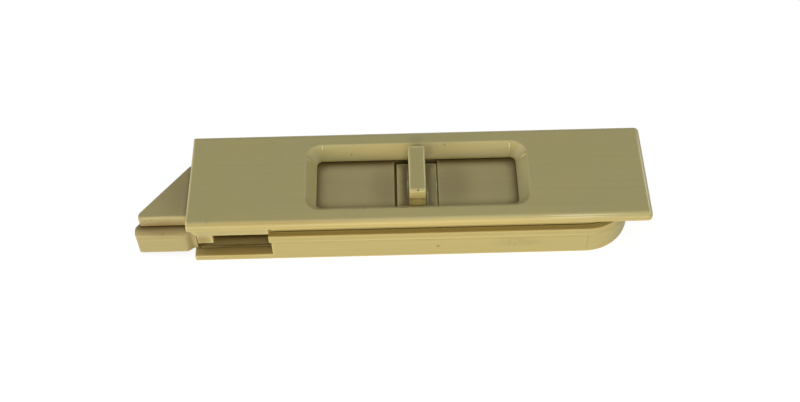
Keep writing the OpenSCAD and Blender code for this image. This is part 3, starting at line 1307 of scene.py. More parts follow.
@dataclass
class BodyTray(Piece):
    """Round-ended tray with a leaning band under its rim, a side notch, a stop lip and two bosses."""

    layout: Layout
    finish: MouldedPlastic
    name: str = "body_tray_moulding"
    node: str = "body_tray"
    body: str = "housing"
    slot: str = "tray_moulding"
    band_height: float = 2.5 * MM
    band_lean: float = 0.3 * MM
    band_break: float = 0.14 * MM
    notch_step: float = 0.6 * MM
    base_radius: float = 0.15 * MM
    rim_radius: float = 0.3 * MM
    fillet_radius: float = 0.6 * MM
    edge_break: float = 0.15 * MM
    witness_offset: float = 0.25 * MM
    witness_radius: float = 0.12 * MM
    spare: float = 1.0 * MM

    def model(self) -> bpy.types.Object:
        """Models the tray.

        Returns:
            The tray's object.
        """
        tray = self.shell()
        grooves = self.side_rods("groove", self.layout.bead_radius + self.layout.snug_gap)
        Bench.combine(tray, Join.CUT, self.notch(), self.witness_line(), *grooves)
        self.break_notch(tray)
        Bench.combine(tray, Join.WELD, self.stop_lip(), *self.bosses())
        return tray

    @property
    def band_z(self) -> float:
        """Lower edge of the leaning band."""
        return self.layout.rim_z - self.band_height

    def shell(self) -> bpy.types.Object:
        """Models the tray's floor and wall, swept round the far end in one section.

        Returns:
            The plain tray.
        """
        half = self.layout.tray_half
        inner = self.layout.tray_in_half
        section = [
            (0.0, self.layout.tray_low.z),
            (-half, self.layout.tray_low.z),
            (-half, self.band_z - self.band_break),
            (self.band_break - half, self.band_z),
            (self.band_lean - half, self.layout.rim_z),
            (-inner, self.layout.rim_z),
            (-inner, self.layout.floor_z),
            (0.0, self.layout.floor_z),
        ]
        rounds = {1: self.base_radius, 4: self.rim_radius, 5: self.edge_break, 6: self.fillet_radius}
        start = self.layout.mouth_x
        outline = Bench.outline("tray", [Vector((start, y, z)) for y, z in section], rounds, closed=False)
        return Bench.round_sweep(outline, start, self.layout.arc_x)

    def notch(self) -> bpy.types.Object:
        """Models the stepped block that cuts the notch in the front wall.

        Returns:
            The cutter.
        """
        front = -self.layout.tray_half - self.spare
        start = self.layout.mouth_x - self.spare
        end = self.layout.notch_x
        above = self.layout.rim_z + self.spare
        corners = [
            (start, self.layout.floor_z), (end, self.layout.floor_z), (end, self.band_z),
            (end - self.notch_step, self.band_z), (end - self.notch_step, above), (start, above),
        ]
        depth = self.layout.wall_tray + self.spare + self.fillet_radius
        notch = Bench.outline("notch", [Vector((x, front, z)) for x, z in corners])
        return Bench.raised(notch, Vector((0.0, depth, 0.0)))

    def break_notch(self, tray: bpy.types.Object) -> None:
        """Breaks the outer edges of the notch.

        Args:
            tray: The tray with its notch cut.
        """
        wall = -self.layout.tray_half + self.band_lean + NEAR
        end = self.layout.notch_x

        def on_edge(point: Vector) -> bool:
            """Tells whether a point lies on the notch's outline in the front wall."""
            return point.y < wall and point.x < end + NEAR and point.z > self.layout.floor_z - NEAR

        Bench.round_sharp(tray, lambda a, b: on_edge(a) and on_edge(b), self.edge_break, 2)

    def witness_line(self) -> bpy.types.Object:
        """Models the thin rod for the moulding line where the front wall meets the round end.

        Returns:
            The cutter.
        """
        along = self.layout.arc_x + self.witness_offset
        across = -self.layout.tray_half - self.witness_radius / 2
        low, high = self.layout.tray_low.z - self.spare, self.layout.rim_z + self.spare
        return Bench.rod(
            "witness", Vector((along, across, low)), Vector((along, across, high)), self.witness_radius, 12
        )

    def stop_lip(self) -> bpy.types.Object:
        """Models the lip at the mouth that stops the bolt's foot.

        Returns:
            The lip.
        """
        low = Vector((
            self.layout.mouth_x,
            self.layout.skirt_in_half,
            self.layout.floor_z - self.layout.floor_thick / 2,
        ))
        high = Vector((
            self.layout.mouth_x + self.layout.stop_length,
            self.layout.tray_in_half + self.layout.wall_tray / 2,
            self.layout.rim_z,
        ))
        lip = Bench.block("stop_lip", low, high)
        Bench.round_edges(lip, lambda a, b: near(a.y, low.y) and near(b.y, low.y), self.edge_break, 2)
        return lip

    def bosses(self) -> list[bpy.types.Object]:
        """Models the two bosses that take the posts' pins.

        Returns:
            The bosses.
        """
        radius = self.layout.post_width / 2 + self.layout.snug_gap
        bore = self.layout.pin_width / 2 + self.layout.snug_gap
        depth = self.layout.foot_top_z - self.layout.floor_z + self.layout.floor_thick / 4
        bosses = []
        for side in SIDES:
            place = Vector((self.layout.post_x, side * self.layout.post_y, 0.0))
            top = place + Vector((0.0, 0.0, self.layout.foot_top_z))
            root = place + Vector((0.0, 0.0, self.layout.floor_z - self.layout.floor_thick / 2))
            boss = Bench.rod(f"boss_{side}", root, top, radius)
            with Bench.editing(boss, Pick.FACES) as mesh:
                Bench.pick_faces(mesh, lambda face: face.normal.z > 0.9)
                bpy.ops.mesh.inset(thickness=radius - bore)
                bpy.ops.mesh.extrude_region_move(TRANSFORM_OT_translate={"value": (0.0, 0.0, -depth)})
            bosses.append(boss)
        return bosses


@dataclass
class LatchBolt(Piece):
    """Slide bolt with a bevelled nose, a round-topped guide block, a wide foot and a socket for the pull."""

    layout: Layout
    finish: MouldedPlastic
    name: str = "latch_bolt_moulding"
    node: str = "latch_bolt"
    body: str = "bolt"
    slot: str = "bolt_moulding"
    nose_setback: float = 1.4 * MM
    tip_width: float = 1.7 * MM
    bevel_out: float = 1.05 * MM
    edge_radius: float = 0.6 * MM
    bevel_end_radius: float = 1.2 * MM
    tip_far_radius: float = 0.6 * MM
    tip_near_radius: float = 0.62 * MM
    block_length: float = 15.75 * MM
    block_land: float = 1.1 * MM
    block_out: float = 2.45 * MM
    block_edge_radius: float = 2.4 * MM
    block_corner_radius: float = 1.0 * MM
    block_back_radius: float = 0.4 * MM
    heel_length: float = 1.65 * MM
    heel_depth: float = 1.25 * MM
    heel_inner_radius: float = 0.3 * MM
    heel_outer_radius: float = 0.7 * MM
    channel_depth: float = 2.45 * MM
    runner_thick: float = 0.6 * MM
    groove_height: float = 0.8 * MM
    groove_depth: float = 1.6 * MM
    base_gap: float = 0.55 * MM
    bore_radius: float = 3.6 * MM
    core_count: int = 3
    block_break: float = 0.25 * MM
    slot_break: float = 0.12 * MM
    edge_break: float = 0.2 * MM
    spare: float = 1.0 * MM

    @property
    def block_x(self) -> float:
        """End of the guide block at the nose."""
        return self.layout.bolt_low.x

    @property
    def tip_x(self) -> float:
        """Tip of the nose."""
        return self.block_x + self.nose_setback

    @property
    def tip_y(self) -> float:
        """Place where the nose's bevel starts."""
        return self.tip_width - self.layout.bar_half

    @property
    def bevel_x(self) -> float:
        """Place where the nose's bevel ends."""
        return self.layout.mouth_x - self.bevel_out

    @property
    def channel_y(self) -> float:
        """Back of the channel along the front side."""
        return self.channel_depth - self.layout.bar_half

    @property
    def block_end_x(self) -> float:
        """End of the guide block at the mouth."""
        return self.block_x + self.block_length

    def model(self) -> bpy.types.Object:
        """Models the bolt.

        Returns:
            The bolt's object.
        """
        bolt = self.bar()
        Bench.combine(bolt, Join.WELD, self.guide_block(), self.foot())
        Bench.combine(
            bolt, Join.CUT, self.groove(), self.side_channel(), *self.cores(), *self.socket(), self.bore()
        )
        return bolt

    def bar(self) -> bpy.types.Object:
        """Models the bar with its bevelled nose and soft top edges, square at its tail.

        Returns:
            The bar.
        """
        half = self.layout.bar_half
        tail = self.layout.bolt_high.x
        low = self.layout.foot_z
        corners = [
            (tail, -half), (tail, half), (self.bevel_x, half), (self.tip_x, self.tip_y), (self.tip_x, -half),
        ]
        bar = Bench.outline(
            "bar", [Vector((x, y, low)) for x, y in corners],
            {2: self.bevel_end_radius, 3: self.tip_far_radius, 4: self.tip_near_radius},
        )
        top = self.layout.bolt_z
        Bench.raised(bar, Vector((0.0, 0.0, top - low)))
        Bench.round_edges(
            bar,
            lambda a, b: near(a.z, top) and near(b.z, top) and min(a.x, b.x) < tail - NEAR,
            self.edge_radius, 6,
        )
        return bar

    def guide_block(self) -> bpy.types.Object:
        """Models the guide block, whose plan is shared with a section that has a round front.

        Returns:
            The block.
        """
        low = self.layout.foot_z
        front = -self.layout.bar_half - self.block_out
        back = -self.layout.bar_half + self.groove_depth
        slope = (self.layout.bar_half - self.tip_y) / (self.bevel_x - self.tip_x)
        plan = [
            (self.block_end_x, back),
            (self.block_end_x, front + self.heel_depth),
            (self.block_end_x - self.block_land, front + self.heel_depth),
            (self.block_end_x - self.block_land - self.heel_length, front),
            (self.block_x, front),
            (self.block_x, self.tip_y - self.nose_setback * slope),
            (self.tip_x + self.nose_setback, self.tip_y + self.nose_setback * slope),
        ]
        block = Bench.outline(
            "guide_block", [Vector((x, y, low)) for x, y in plan],
            {
                2: self.heel_inner_radius,
                3: self.heel_outer_radius,
                4: self.block_corner_radius,
                5: self.block_back_radius,
            },
        )
        Bench.raised(block, Vector((0.0, 0.0, self.layout.block_height)))
        start = self.block_x - self.spare
        top, half = self.layout.block_top_z, self.layout.bar_half
        section = [(front, low), (front, top), (half, top), (half, low)]
        rounded = Bench.outline(
            "block_section", [Vector((start, y, z)) for y, z in section],
            {0: self.block_break, 1: self.block_edge_radius},
        )
        Bench.raised(rounded, Vector((self.block_length + 2 * self.spare, 0.0, 0.0)))
        Bench.combine(block, Join.SHARE, rounded)
        Bench.round_sharp(
            block,
            lambda a, b: min(a.z, b.z) > low + self.block_break and max(a.y, b.y) < -self.layout.bar_half,
            self.block_break, 3,
        )
        return block

    def foot(self) -> bpy.types.Object:
        """Models the wide foot that runs under the plate's skirt.

        Returns:
            The foot.
        """
        half = self.layout.bolt_high.y
        start = self.layout.mouth_x + self.layout.stop_length + self.layout.snug_gap
        low = Vector((start, -half, self.layout.foot_z))
        high = Vector((self.layout.bolt_high.x, half, self.layout.foot_top_z))
        foot = Bench.block("foot", low, high)
        Bench.round_edges(
            foot, lambda a, b: near(abs(a.y), half) and near(abs(b.y), half), self.edge_break, 2
        )
        return foot

    def groove(self) -> bpy.types.Object:
        """Models the block that cuts the relief groove above the guide block.

        Returns:
            The cutter.
        """
        half, low = self.layout.bar_half, self.layout.block_top_z
        return Bench.block(
            "groove",
            Vector((self.block_x - self.spare, -half - self.block_out - self.spare, low)),
            Vector((self.block_end_x, self.groove_depth - half, low + self.groove_height)),
        )

    def cores(self) -> list[bpy.types.Object]:
        """Models the blocks that core the bolt's underside between its ribs.

        Returns:
            The cutters.
        """
        wall = self.layout.core_wall
        first = self.layout.mouth_x + self.layout.stop_length + self.layout.snug_gap + wall
        last = self.layout.window_x - self.layout.base_length / 2 - 2 * wall
        length = (last - first - (self.core_count - 1) * wall) / self.core_count
        low = self.layout.foot_z - self.spare
        high = self.layout.bolt_z - wall
        rooms = ((self.channel_y + wall, -wall / 2), (wall / 2, self.layout.bar_half - wall))
        blocks = []
        for row in range(self.core_count):
            start = first + row * (length + wall)
            for room, (near_y, far_y) in enumerate(rooms):
                blocks.append(Bench.block(
                    f"core_{row}_{room}", Vector((start, near_y, low)), Vector((start + length, far_y, high))
                ))
        return blocks

    def side_channel(self) -> bpy.types.Object:
        """Models the block for the channel along the front side, above a thin runner.

        Returns:
            The cutter.
        """
        return Bench.block(
            "side_channel",
            Vector((
                self.block_end_x + self.layout.fit_gap,
                self.layout.bolt_low.y - self.spare,
                self.layout.foot_z + self.runner_thick,
            )),
            Vector((self.layout.bolt_high.x + self.spare, self.channel_y, self.layout.foot_top_z)),
        )

    def socket(self) -> list[bpy.types.Object]:
        """Models the solids that cut the pull's slot, its leg holes and the room for its hooks.

        Returns:
            The cutters.
        """
        middle = self.layout.window_x
        half = self.layout.base_length / 2
        width = self.layout.bar_half
        snug = self.layout.snug_gap
        left, right = middle - half - self.base_gap, middle + half + snug
        low, top, flare = self.layout.slot_z - snug, self.layout.bolt_z, self.slot_break
        corners = [
            (left, low), (right, low), (right, top - flare), (right + flare, top),
            (right + flare, top + self.spare), (left - flare, top + self.spare), (left - flare, top),
            (left, top - flare),
        ]
        slot = Bench.outline("pull_slot", [Vector((x, -width - self.spare, z)) for x, z in corners])
        Bench.raised(slot, Vector((0.0, 2 * (width + self.spare), 0.0)))
        room_half = half + self.layout.core_wall
        wall = self.layout.core_wall
        room = Bench.block(
            "hook_room",
            Vector((middle - room_half, self.channel_y + wall, self.layout.foot_z - self.spare)),
            Vector((middle + room_half, width - wall, self.layout.web_z)),
        )
        leg_half = self.layout.leg_width / 2 + snug
        inner = self.layout.leg_x - self.layout.hook_out - snug
        outer = self.layout.leg_x + self.layout.leg_thick + snug
        holes = [
            Bench.block(
                f"leg_hole_{side}",
                Vector((middle + min(side * inner, side * outer), -leg_half, self.layout.web_z - self.spare)),
                Vector((middle + max(side * inner, side * outer), leg_half, self.layout.bolt_z)),
            )
            for side in SIDES
        ]
        return [slot, room, *holes]

    def bore(self) -> bpy.types.Object:
        """Models the rod that bores the bolt's tail for the spring.

        Returns:
            The cutter.
        """
        return Bench.rod(
            "spring_bore",
            Vector((self.layout.bore_x, 0.0, self.layout.axis_z)),
            Vector((self.layout.bolt_high.x + self.spare, 0.0, self.layout.axis_z)),
            self.bore_radius,
        )


@dataclass
class FingerPull(Piece):
    """Finger pull: an upright rib on a base, with two hooked legs."""

    layout: Layout
    finish: MouldedPlastic
    name: str = "finger_pull_moulding"
    node: str = "finger_pull"
    body: str = "bolt"
    slot: str = "pull_moulding"
    rib_thick: float = 4.35 * MM
    rib_nose_radius: float = 0.95 * MM
    rib_edge_radius: float = 0.5 * MM
    foot_fillet: float = 0.45 * MM
    base_inset: float = 0.1 * MM
    base_edge: float = 0.25 * MM
    hook_height: float = 1.2 * MM
    hook_tip_radius: float = 0.15 * MM
    leg_tip_radius: float = 0.3 * MM

    def model(self) -> bpy.types.Object:
        """Models the pull.

        Returns:
            The pull's object.
        """
        pull = self.base()
        Bench.combine(pull, Join.WELD, self.rib())
        self.fillet(pull)
        Bench.combine(pull, Join.WELD, *(self.leg(side) for side in SIDES))
        return pull

    @property
    def base_top_z(self) -> float:
        """Top of the base."""
        return self.layout.slot_z + self.layout.base_thick

    def base(self) -> bpy.types.Object:
        """Models the base with softened top edges.

        Returns:
            The base.
        """
        half = self.layout.base_length / 2
        wide = self.layout.pull_high.y - self.base_inset
        middle = self.layout.window_x
        top = self.base_top_z
        base = Bench.block(
            "pull_base",
            Vector((middle - half, -wide, self.layout.slot_z)),
            Vector((middle + half, wide, top)),
        )
        Bench.round_edges(base, lambda a, b: near(a.z, top) and near(b.z, top), self.base_edge, 3)
        return base

    def rib(self) -> bpy.types.Object:
        """Models the upright rib with a round near end and softened edges.

        Returns:
            The rib.
        """
        middle = self.layout.window_x
        low = Vector((middle - self.rib_thick / 2, self.layout.pull_low.y, self.layout.slot_z))
        high = Vector((middle + self.rib_thick / 2, self.layout.pull_high.y, self.layout.pull_high.z))
        rib = Bench.block("pull_rib", low, high)
        Bench.round_edges(
            rib,
            lambda a, b: all(near(p.y, low.y) and near(p.z, high.z) for p in (a, b)),
            self.rib_nose_radius, 8,
        )
        Bench.round_sharp(rib, lambda a, b: max(a.z, b.z) > low.z + MM, self.rib_edge_radius, 5)
        return rib

    def fillet(self, pull: bpy.types.Object) -> None:
        """Fillets the corners between the rib's sides and the base.

        Args:
            pull: The base with its rib.
        """
        sides = (self.layout.window_x - self.rib_thick / 2, self.layout.window_x + self.rib_thick / 2)
        top = self.base_top_z

        def on_foot(point: Vector) -> bool:
            """Tells whether a point lies where the rib's sides meet the base."""
            return near(point.z, top) and any(near(point.x, side) for side in sides)

        Bench.round_edges(
            pull, lambda a, b: on_foot(a) and on_foot(b) and near(a.x, b.x), self.foot_fillet, 5
        )

    def leg(self, side: int) -> bpy.types.Object:
        """Models one snap leg with its hook.

        Args:
            side: -1 for the left leg and 1 for the right one.

        Returns:
            The leg.
        """
        inner = self.layout.leg_x
        outer = inner + self.layout.leg_thick
        root = self.layout.slot_z + self.layout.base_thick / 2
        tip = self.layout.pull_low.z
        catch = tip + self.hook_height
        corners = [
            (inner, root), (inner, tip), (outer, tip), (outer + self.layout.hook_out, catch), (outer, catch),
            (outer, root),
        ]
        half = self.layout.leg_width / 2
        middle = self.layout.window_x
        leg = Bench.outline(
            f"leg_{side}", [Vector((middle + side * x, -half, z)) for x, z in corners],
            {1: self.leg_tip_radius, 3: self.hook_tip_radius},
        )
        return Bench.raised(leg, Vector((0.0, 2 * half, 0.0)))


@dataclass
class ReturnSpring(Piece):
    """Coil spring between the bolt's bore and the plate's seat, with closed end turns."""

    layout: Layout
    finish: SpringWire
    name: str = "return_spring_coil"
    node: str = "return_spring"
    body: str = "housing"
    slot: str = "spring_wire"
    wire_width: float = 0.8 * MM
    turns: int = 13
    sides: int = 12
    steps: int = 36

    def model(self) -> bpy.types.Object:
        """Models the spring.

        Returns:
            The spring's object.
        """
        start = self.layout.spring_low.x + self.wire_width / 2
        end = self.layout.spring_high.x - self.wire_width / 2
        live = self.turns - 2
        pitch = (end - start - 2 * self.wire_width) / live
        coil = self.turn_run(start, 1, self.wire_width)
        for place, count, rise in (
            (start + self.wire_width, live, pitch),
            (end - self.wire_width, 1, self.wire_width),
        ):
            other = self.turn_run(place, count, rise)
            Bench.only(coil)
            other.select_set(True)
            bpy.ops.object.join()
        with Bench.editing(coil, Pick.POINTS):
            bpy.ops.mesh.select_all(action="SELECT")
            bpy.ops.mesh.remove_doubles(threshold=NEAR)
        self.cap(coil)
        return coil

    def turn_run(self, start: float, count: int, rise: float) -> bpy.types.Object:
        """Winds a few turns of wire.

        Args:
            start: Place of the first ring along the axis.
            count: Number of turns.
            rise: Length along the axis for each turn.

        Returns:
            The wound wire, open at both ends.
        """
        radius = (self.layout.spring_high.y - self.layout.spring_low.y - self.wire_width) / 2
        bpy.ops.object.select_all(action="DESELECT")
        bpy.ops.mesh.primitive_circle_add(
            vertices=self.sides, radius=self.wire_width / 2, location=(0.0, radius, 0.0)
        )
        wire = Bench.settle("wire")
        screw = wire.modifiers.new("wind", "SCREW")
        screw.axis = "X"
        screw.angle = math.tau
        screw.iterations = count
        screw.screw_offset = rise
        screw.steps = self.steps
        screw.render_steps = self.steps
        Bench.only(wire)
        bpy.ops.object.modifier_apply(modifier=screw.name)
        with Bench.editing(wire, Pick.POINTS):
            bpy.ops.mesh.select_all(action="SELECT")
            bpy.ops.transform.translate(value=(start, 0.0, self.layout.axis_z))
        return wire

    def cap(self, coil: bpy.types.Object) -> None:
        """Closes the wire's two ends.

        Args:
            coil: The wound wire.
        """
        middle = (self.layout.spring_low.x + self.layout.spring_high.x) / 2
        for side in SIDES:
            with Bench.editing(coil, Pick.EDGES) as mesh:
                for edge in mesh.edges:
                    if edge.is_boundary and (edge.verts[0].co.x - middle) * side > 0:
                        edge.select_set(True)
                mesh.select_flush_mode()
                bpy.ops.mesh.edge_face_add()

    def place(self) -> bpy.types.Object:
        """Sets the spring in place and gives it a mesh of its own.

        Returns:
            The spring's object.
        """
        coil = super().place()
        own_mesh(coil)
        return coil


@dataclass(frozen=True)
class SoftPanel:
    """A soft rectangular light that looks at the latch."""

    name: str
    azimuth: float
    elevation: float
    width: float
    height: float
    power: float
    colour: Colour = WHITE
    distance: float = 0.9

    def place(self, target: Vector) -> None:
        """Adds the light, aimed at a point.

        Args:
            target: The point.
        """
        side, rise = math.radians(self.azimuth), math.radians(self.elevation)
        away = Vector((
            math.cos(rise) * math.sin(side),
            -math.cos(rise) * math.cos(side),
            math.sin(rise),
        ))
        turn = away.to_track_quat("Z", "Y").to_euler()
        bpy.ops.object.light_add(type="AREA", location=target + away * self.distance, rotation=turn)
        lamp = bpy.context.object
        lamp.name = self.name
        lamp.data.shape = "RECTANGLE"
        lamp.data.size = self.width
        lamp.data.size_y = self.height
        lamp.data.energy = self.power
        lamp.data.color = self.colour
        LOG.info("light %s: %.1f W", self.name, self.power)


@dataclass
class Studio:
    """Pale floor, even surroundings and soft lights."""

    layout: Layout
    floor_size: float = 6.0
    floor_gap: float = 0.02 * MM
    floor_colour: Colour = (0.82, 0.82, 0.82)
    floor_white: float = 0.86
    paper_scale: float = 9.0
    paper_shade: float = 0.98
    shadow_share: float = 0.36
    ambient: Colour = (0.08, 0.084, 0.084)

    def lights(self) -> list[SoftPanel]:
        """Lists the studio's lights.

        Returns:
            The lights.
        """
        return [
            SoftPanel("overhead_panel", azimuth=0.0, elevation=80.0, width=0.55, height=0.45, power=1.8,
                      colour=(0.95, 1.0, 1.0)),
            SoftPanel("front_panel", azimuth=-12.0, elevation=4.5, width=1.2, height=0.15, power=6.8,
                      colour=(1.0, 0.92, 0.73)),
            SoftPanel("left_panel", azimuth=-88.0, elevation=26.0, width=0.7, height=0.4, power=2.0,
                      colour=(0.97, 1.0, 1.04)),
            SoftPanel("right_panel", azimuth=95.0, elevation=30.0, width=0.6, height=0.4, power=1.5,
                      colour=(0.97, 1.0, 1.04)),
            SoftPanel("high_strip", azimuth=17.0, elevation=56.0, width=0.10, height=0.03, power=0.4,
                      colour=(1.0, 0.98, 0.93)),
            SoftPanel("low_strip", azimuth=12.0, elevation=37.0, width=0.10, height=0.03, power=0.4,
                      colour=(1.0, 0.98, 0.93)),
            SoftPanel("rim_strip", azimuth=138.0, elevation=35.0, width=0.12, height=0.10, power=0.4,
                      colour=(1.0, 0.99, 0.94)),
        ]

    def build(self) -> None:
        """Builds the floor, the surroundings and the lights."""
        self.floor()
        self.surroundings()
        for light in self.lights():
            light.place(Vector())

    def floor(self) -> None:
        """Adds the floor under the tray, white to the camera and with the latch's shadow."""
        bpy.ops.object.select_all(action="DESELECT")
        level = self.layout.tray_low.z - self.floor_gap
        bpy.ops.mesh.primitive_plane_add(size=self.floor_size, location=(0.0, 0.0, level))
        floor = Bench.settle("floor")
        material = bpy.data.materials.new("floor_paper")
        sheet = NodeSheet(material)
        place = sheet.node("ShaderNodeTexCoord").outputs["Object"]
        fibres = sheet.noise(place, self.paper_scale, 2.0)
        shaded, shadowed = (
            tuple(share * part for part in self.floor_colour)
            for share in (self.paper_shade, self.shadow_share)
        )
        tone = sheet.mix(fibres, self.floor_colour, shaded)
        seen = self.seen_directly(sheet)
        tone = sheet.mix(seen, tone, shadowed)
        paper = sheet.node("ShaderNodeBsdfDiffuse", {"Color": tone})
        glow = sheet.math(Calc.MULTIPLY, seen, self.floor_white)
        white = sheet.node("ShaderNodeEmission", {"Color": (*WHITE, 1.0), "Strength": glow})
        both = sheet.node("ShaderNodeAddShader", {0: paper.outputs[0], 1: white.outputs[0]})
        sheet.node("ShaderNodeOutputMaterial", {"Surface": both.outputs[0]})
        floor.data.materials.append(material)

    @staticmethod
    def seen_directly(sheet: NodeSheet) -> bpy.types.NodeSocket:
        """Tells the camera's own, mirrored and refracted rays from the rest.

        Args:
            sheet: The nodes of a material or of the world.

        Returns:
            1 for those rays and 0 for the others.
        """
        path = sheet.node("ShaderNodeLightPath")
        seen = sheet.math(Calc.ADD, path.outputs["Is Camera Ray"], path.outputs["Is Glossy Ray"], clamp=True)
        return sheet.math(Calc.ADD, seen, path.outputs["Is Transmission Ray"], clamp=True)

    def surroundings(self) -> None:
        """Sets an even light all round, white where it is seen."""
        world = bpy.data.worlds.new("studio")
        bpy.context.scene.world = world
        sheet = NodeSheet(world)
        colour = sheet.mix(self.seen_directly(sheet), self.ambient, WHITE)
        back = sheet.node("ShaderNodeBackground", {"Color": colour})
        sheet.node("ShaderNodeOutputWorld", {"Surface": back.outputs[0]})


@dataclass
class PhotoCamera:
    """Camera with the photograph's view of the latch."""

    target: Vector
    distance: float = 313.3 * MM
    elevation: float = math.radians(53.238)
    yaw: float = math.radians(0.118)
    roll: float = math.radians(1.521)
    focal_pixels: float = 1212.7
    image_width: float = 800.0
    sensor_width: float = 36.0
    clip_start: float = 0.01

    def place(self) -> None:
        """Adds the camera and makes it the scene's own."""
        forward = Vector((
            -math.sin(self.yaw) * math.cos(self.elevation),
            math.cos(self.yaw) * math.cos(self.elevation),
            -math.sin(self.elevation),
        ))
        right = Vector((math.cos(self.yaw), math.sin(self.yaw), 0.0))
        up = right.cross(forward)
        turn = Matrix((right, up, -forward)).transposed() @ Matrix.Rotation(-self.roll, 3, "Z")
        bpy.ops.object.camera_add(location=self.target - forward * self.distance, rotation=turn.to_euler())
        camera = bpy.context.object
        camera.name = "photo_camera"
        camera.data.sensor_fit = "HORIZONTAL"
        camera.data.sensor_width = self.sensor_width
        camera.data.lens = self.focal_pixels * self.sensor_width / self.image_width
        camera.data.clip_start = self.clip_start
        bpy.context.scene.camera = camera
        LOG.info("camera: %.1f mm lens", camera.data.lens)


DUST: Colour = (0.11, 0.075, 0.03)
# Dark brown for dirt and for painted shade.
DIRT_AND_SHADE: Colour = (0.24, 0.17, 0.062)
# Pale grey for painted highlights.
PAINTED_GREY_HIGHLIGHT: Colour = (0.60, 0.58, 0.48)
# Pale gold for painted highlights.
PAINTED_GOLD_HIGHLIGHT: Colour = (0.78, 0.70, 0.40)

PLATE_FINISH = MouldedPlastic(
    "plate_plastic", (0.478, 0.406, 0.175), (0.457, 0.400, 0.181),
    marks=(
        # Painted warm light on the far wall, the near edge, the near edge's middle and the face along the
        # near edge.
        ColourMark.at("far wall", (0.0, 9.4, 0.6), (34.0, 2.6, 2.6), 0.4, (0.62, 0.465, 0.16)),
        ColourMark.at("near edge", (0.0, -15.0, 0.8), (90.0, 1.3, 1.5), 0.45, (0.58, 0.435, 0.138)),
        ColourMark.at("near edge's middle", (5.0, -14.6, 1.4), (48.0, 1.2, 1.2), 0.4, (0.68, 0.53, 0.2)),
        ColourMark.at("face along the near edge", (0.0, -12.6, 2.2), (75.0, 2.3, 0.8), 0.45, (0.53, 0.44, 0.188)),
        ColourMark.at("nick at the nose end", (-54.5, -13.6, 1.8), (0.35, 1.0, 0.6), 0.8, DIRT_AND_SHADE),
        ColourMark.at("dot on the far wall, left", (-17.5, 8.9, 0.2), (0.4, 0.5, 0.4), 0.5, DUST),
        ColourMark.at("dot on the far wall, right", (7.5, 10.4, 1.7), (0.45, 0.5, 0.4), 0.5, DUST),
        ColourMark.at("tab", (-56.3, -14.9, -4.2), (3.0, 1.1, 2.4), 0.9, (0.33, 0.245, 0.075)),
        # Painted warm light on the near edge's left half.
        ColourMark.at("near edge's left half", (-40.0, -14.3, 1.9), (30.0, 0.9, 0.9), 0.5, (0.51, 0.36, 0.11)),
        # Painted shade on the rounding of the far end.
        ColourMark.at("rim of the far end", (59.8, -2.0, 1.5), (0.42, 26.0, 0.75), 0.65, (0.28, 0.25, 0.12)),
        # Painted highlights: pale lines at the far end, along the nose end and on the left corner's ridge.
        ColourMark.at("pale line at the far end", (59.15, -3.0, 2.1), (0.34, 26.0, 0.4), 0.9, (0.86, 0.80, 0.50)),
        ColourMark.at("edge at the nose end", (-59.8, 0.0, 2.15), (0.42, 26.0, 0.42), 0.9, PAINTED_GOLD_HIGHLIGHT),
        ColourMark.at("left corner's ridge", (-25.25, 10.2, 1.8), (0.35, 0.9, 1.0), 0.8, PAINTED_GOLD_HIGHLIGHT),
        # Painted shadows of the rib on the far wall and on the face behind it.
        ColourMark.at("far wall beside the rib", (2.9, 9.4, 0.6), (2.2, 2.6, 2.6), 0.45, (0.26, 0.20, 0.085)),
        ColourMark.at("face behind the rib", (-0.4, 12.0, 2.2), (3.2, 1.8, 0.8), 0.3, (0.30, 0.25, 0.12)),
        # Painted highlights: two lines along the near edge and lines on the right corner's ridges.
        ColourMark.at("upper highlight line on the near edge", (42.0, -14.25, 1.98), (15.0, 0.24, 0.24), 0.8, PAINTED_GOLD_HIGHLIGHT),
        ColourMark.at("lower highlight line on the near edge", (40.0, -14.67, 1.63), (13.0, 0.22, 0.22), 0.7, PAINTED_GOLD_HIGHLIGHT),
        ColourMark.at("right corner's far ridge", (24.85, 9.9, 1.4), (0.35, 1.1, 1.2), 0.8, PAINTED_GOLD_HIGHLIGHT),
        ColourMark.at("right corner's side ridge", (28.2, 6.4, 1.2), (1.3, 0.35, 1.3), 0.8, PAINTED_GOLD_HIGHLIGHT),
        # Painted light: the window's right wall made paler.
        ColourMark.at("right wall", (27.7, 0.0, 0.6), (2.4, 9.5, 2.4), 0.5, (0.62, 0.53, 0.27)),
    ),
)
TRAY_FINISH = MouldedPlastic(
    "tray_plastic", (0.492, 0.414, 0.172), (0.474, 0.406, 0.174), roughness=0.5,
    marks=(
        ColourMark.at(
            "stain on the front wall", (26.5, -12.6, -11.6), (9.0, 2.0, 3.0), 0.28, (0.26, 0.20, 0.085), 0.7
        ),
        # Painted highlight: pale line along the band.
        ColourMark.at("pale line in the band", (15.0, -12.45, -9.3), (90.0, 0.5, 0.45), 0.5, (0.63, 0.54, 0.25)),
        # Painted shade: dark line in the crease under the band.
        ColourMark.at(
            "dark line under the band", (15.0, -12.6, -10.05), (90.0, 0.4, 0.28), 0.3, (0.36, 0.28, 0.11)
        ),
        # Painted shade on the round end.
        ColourMark.at("round end", (57.5, -4.0, -12.0), (9.0, 11.0, 12.0), 0.55, (0.29, 0.255, 0.115)),
        ColourMark.at("moulding line", (44.7, -12.6, -12.5), (0.26, 0.5, 5.5), 0.5, (0.31, 0.24, 0.09)),
        ColourMark.at("dot on the front wall", (5.0, -12.6, -12.8), (0.7, 0.6, 0.45), 0.75, DUST),
        # Painted shade: the notch's floor and the rim under the plate darker and more orange.
        ColourMark.at("floor in the notch", (-48.0, -11.4, -14.7), (16.0, 2.2, 0.9), 0.75, (0.44, 0.30, 0.085)),
        ColourMark.at("rim", (0.0, -11.5, -7.2), (90.0, 1.4, 0.7), 0.55, (0.47, 0.325, 0.105)),
    ),
)
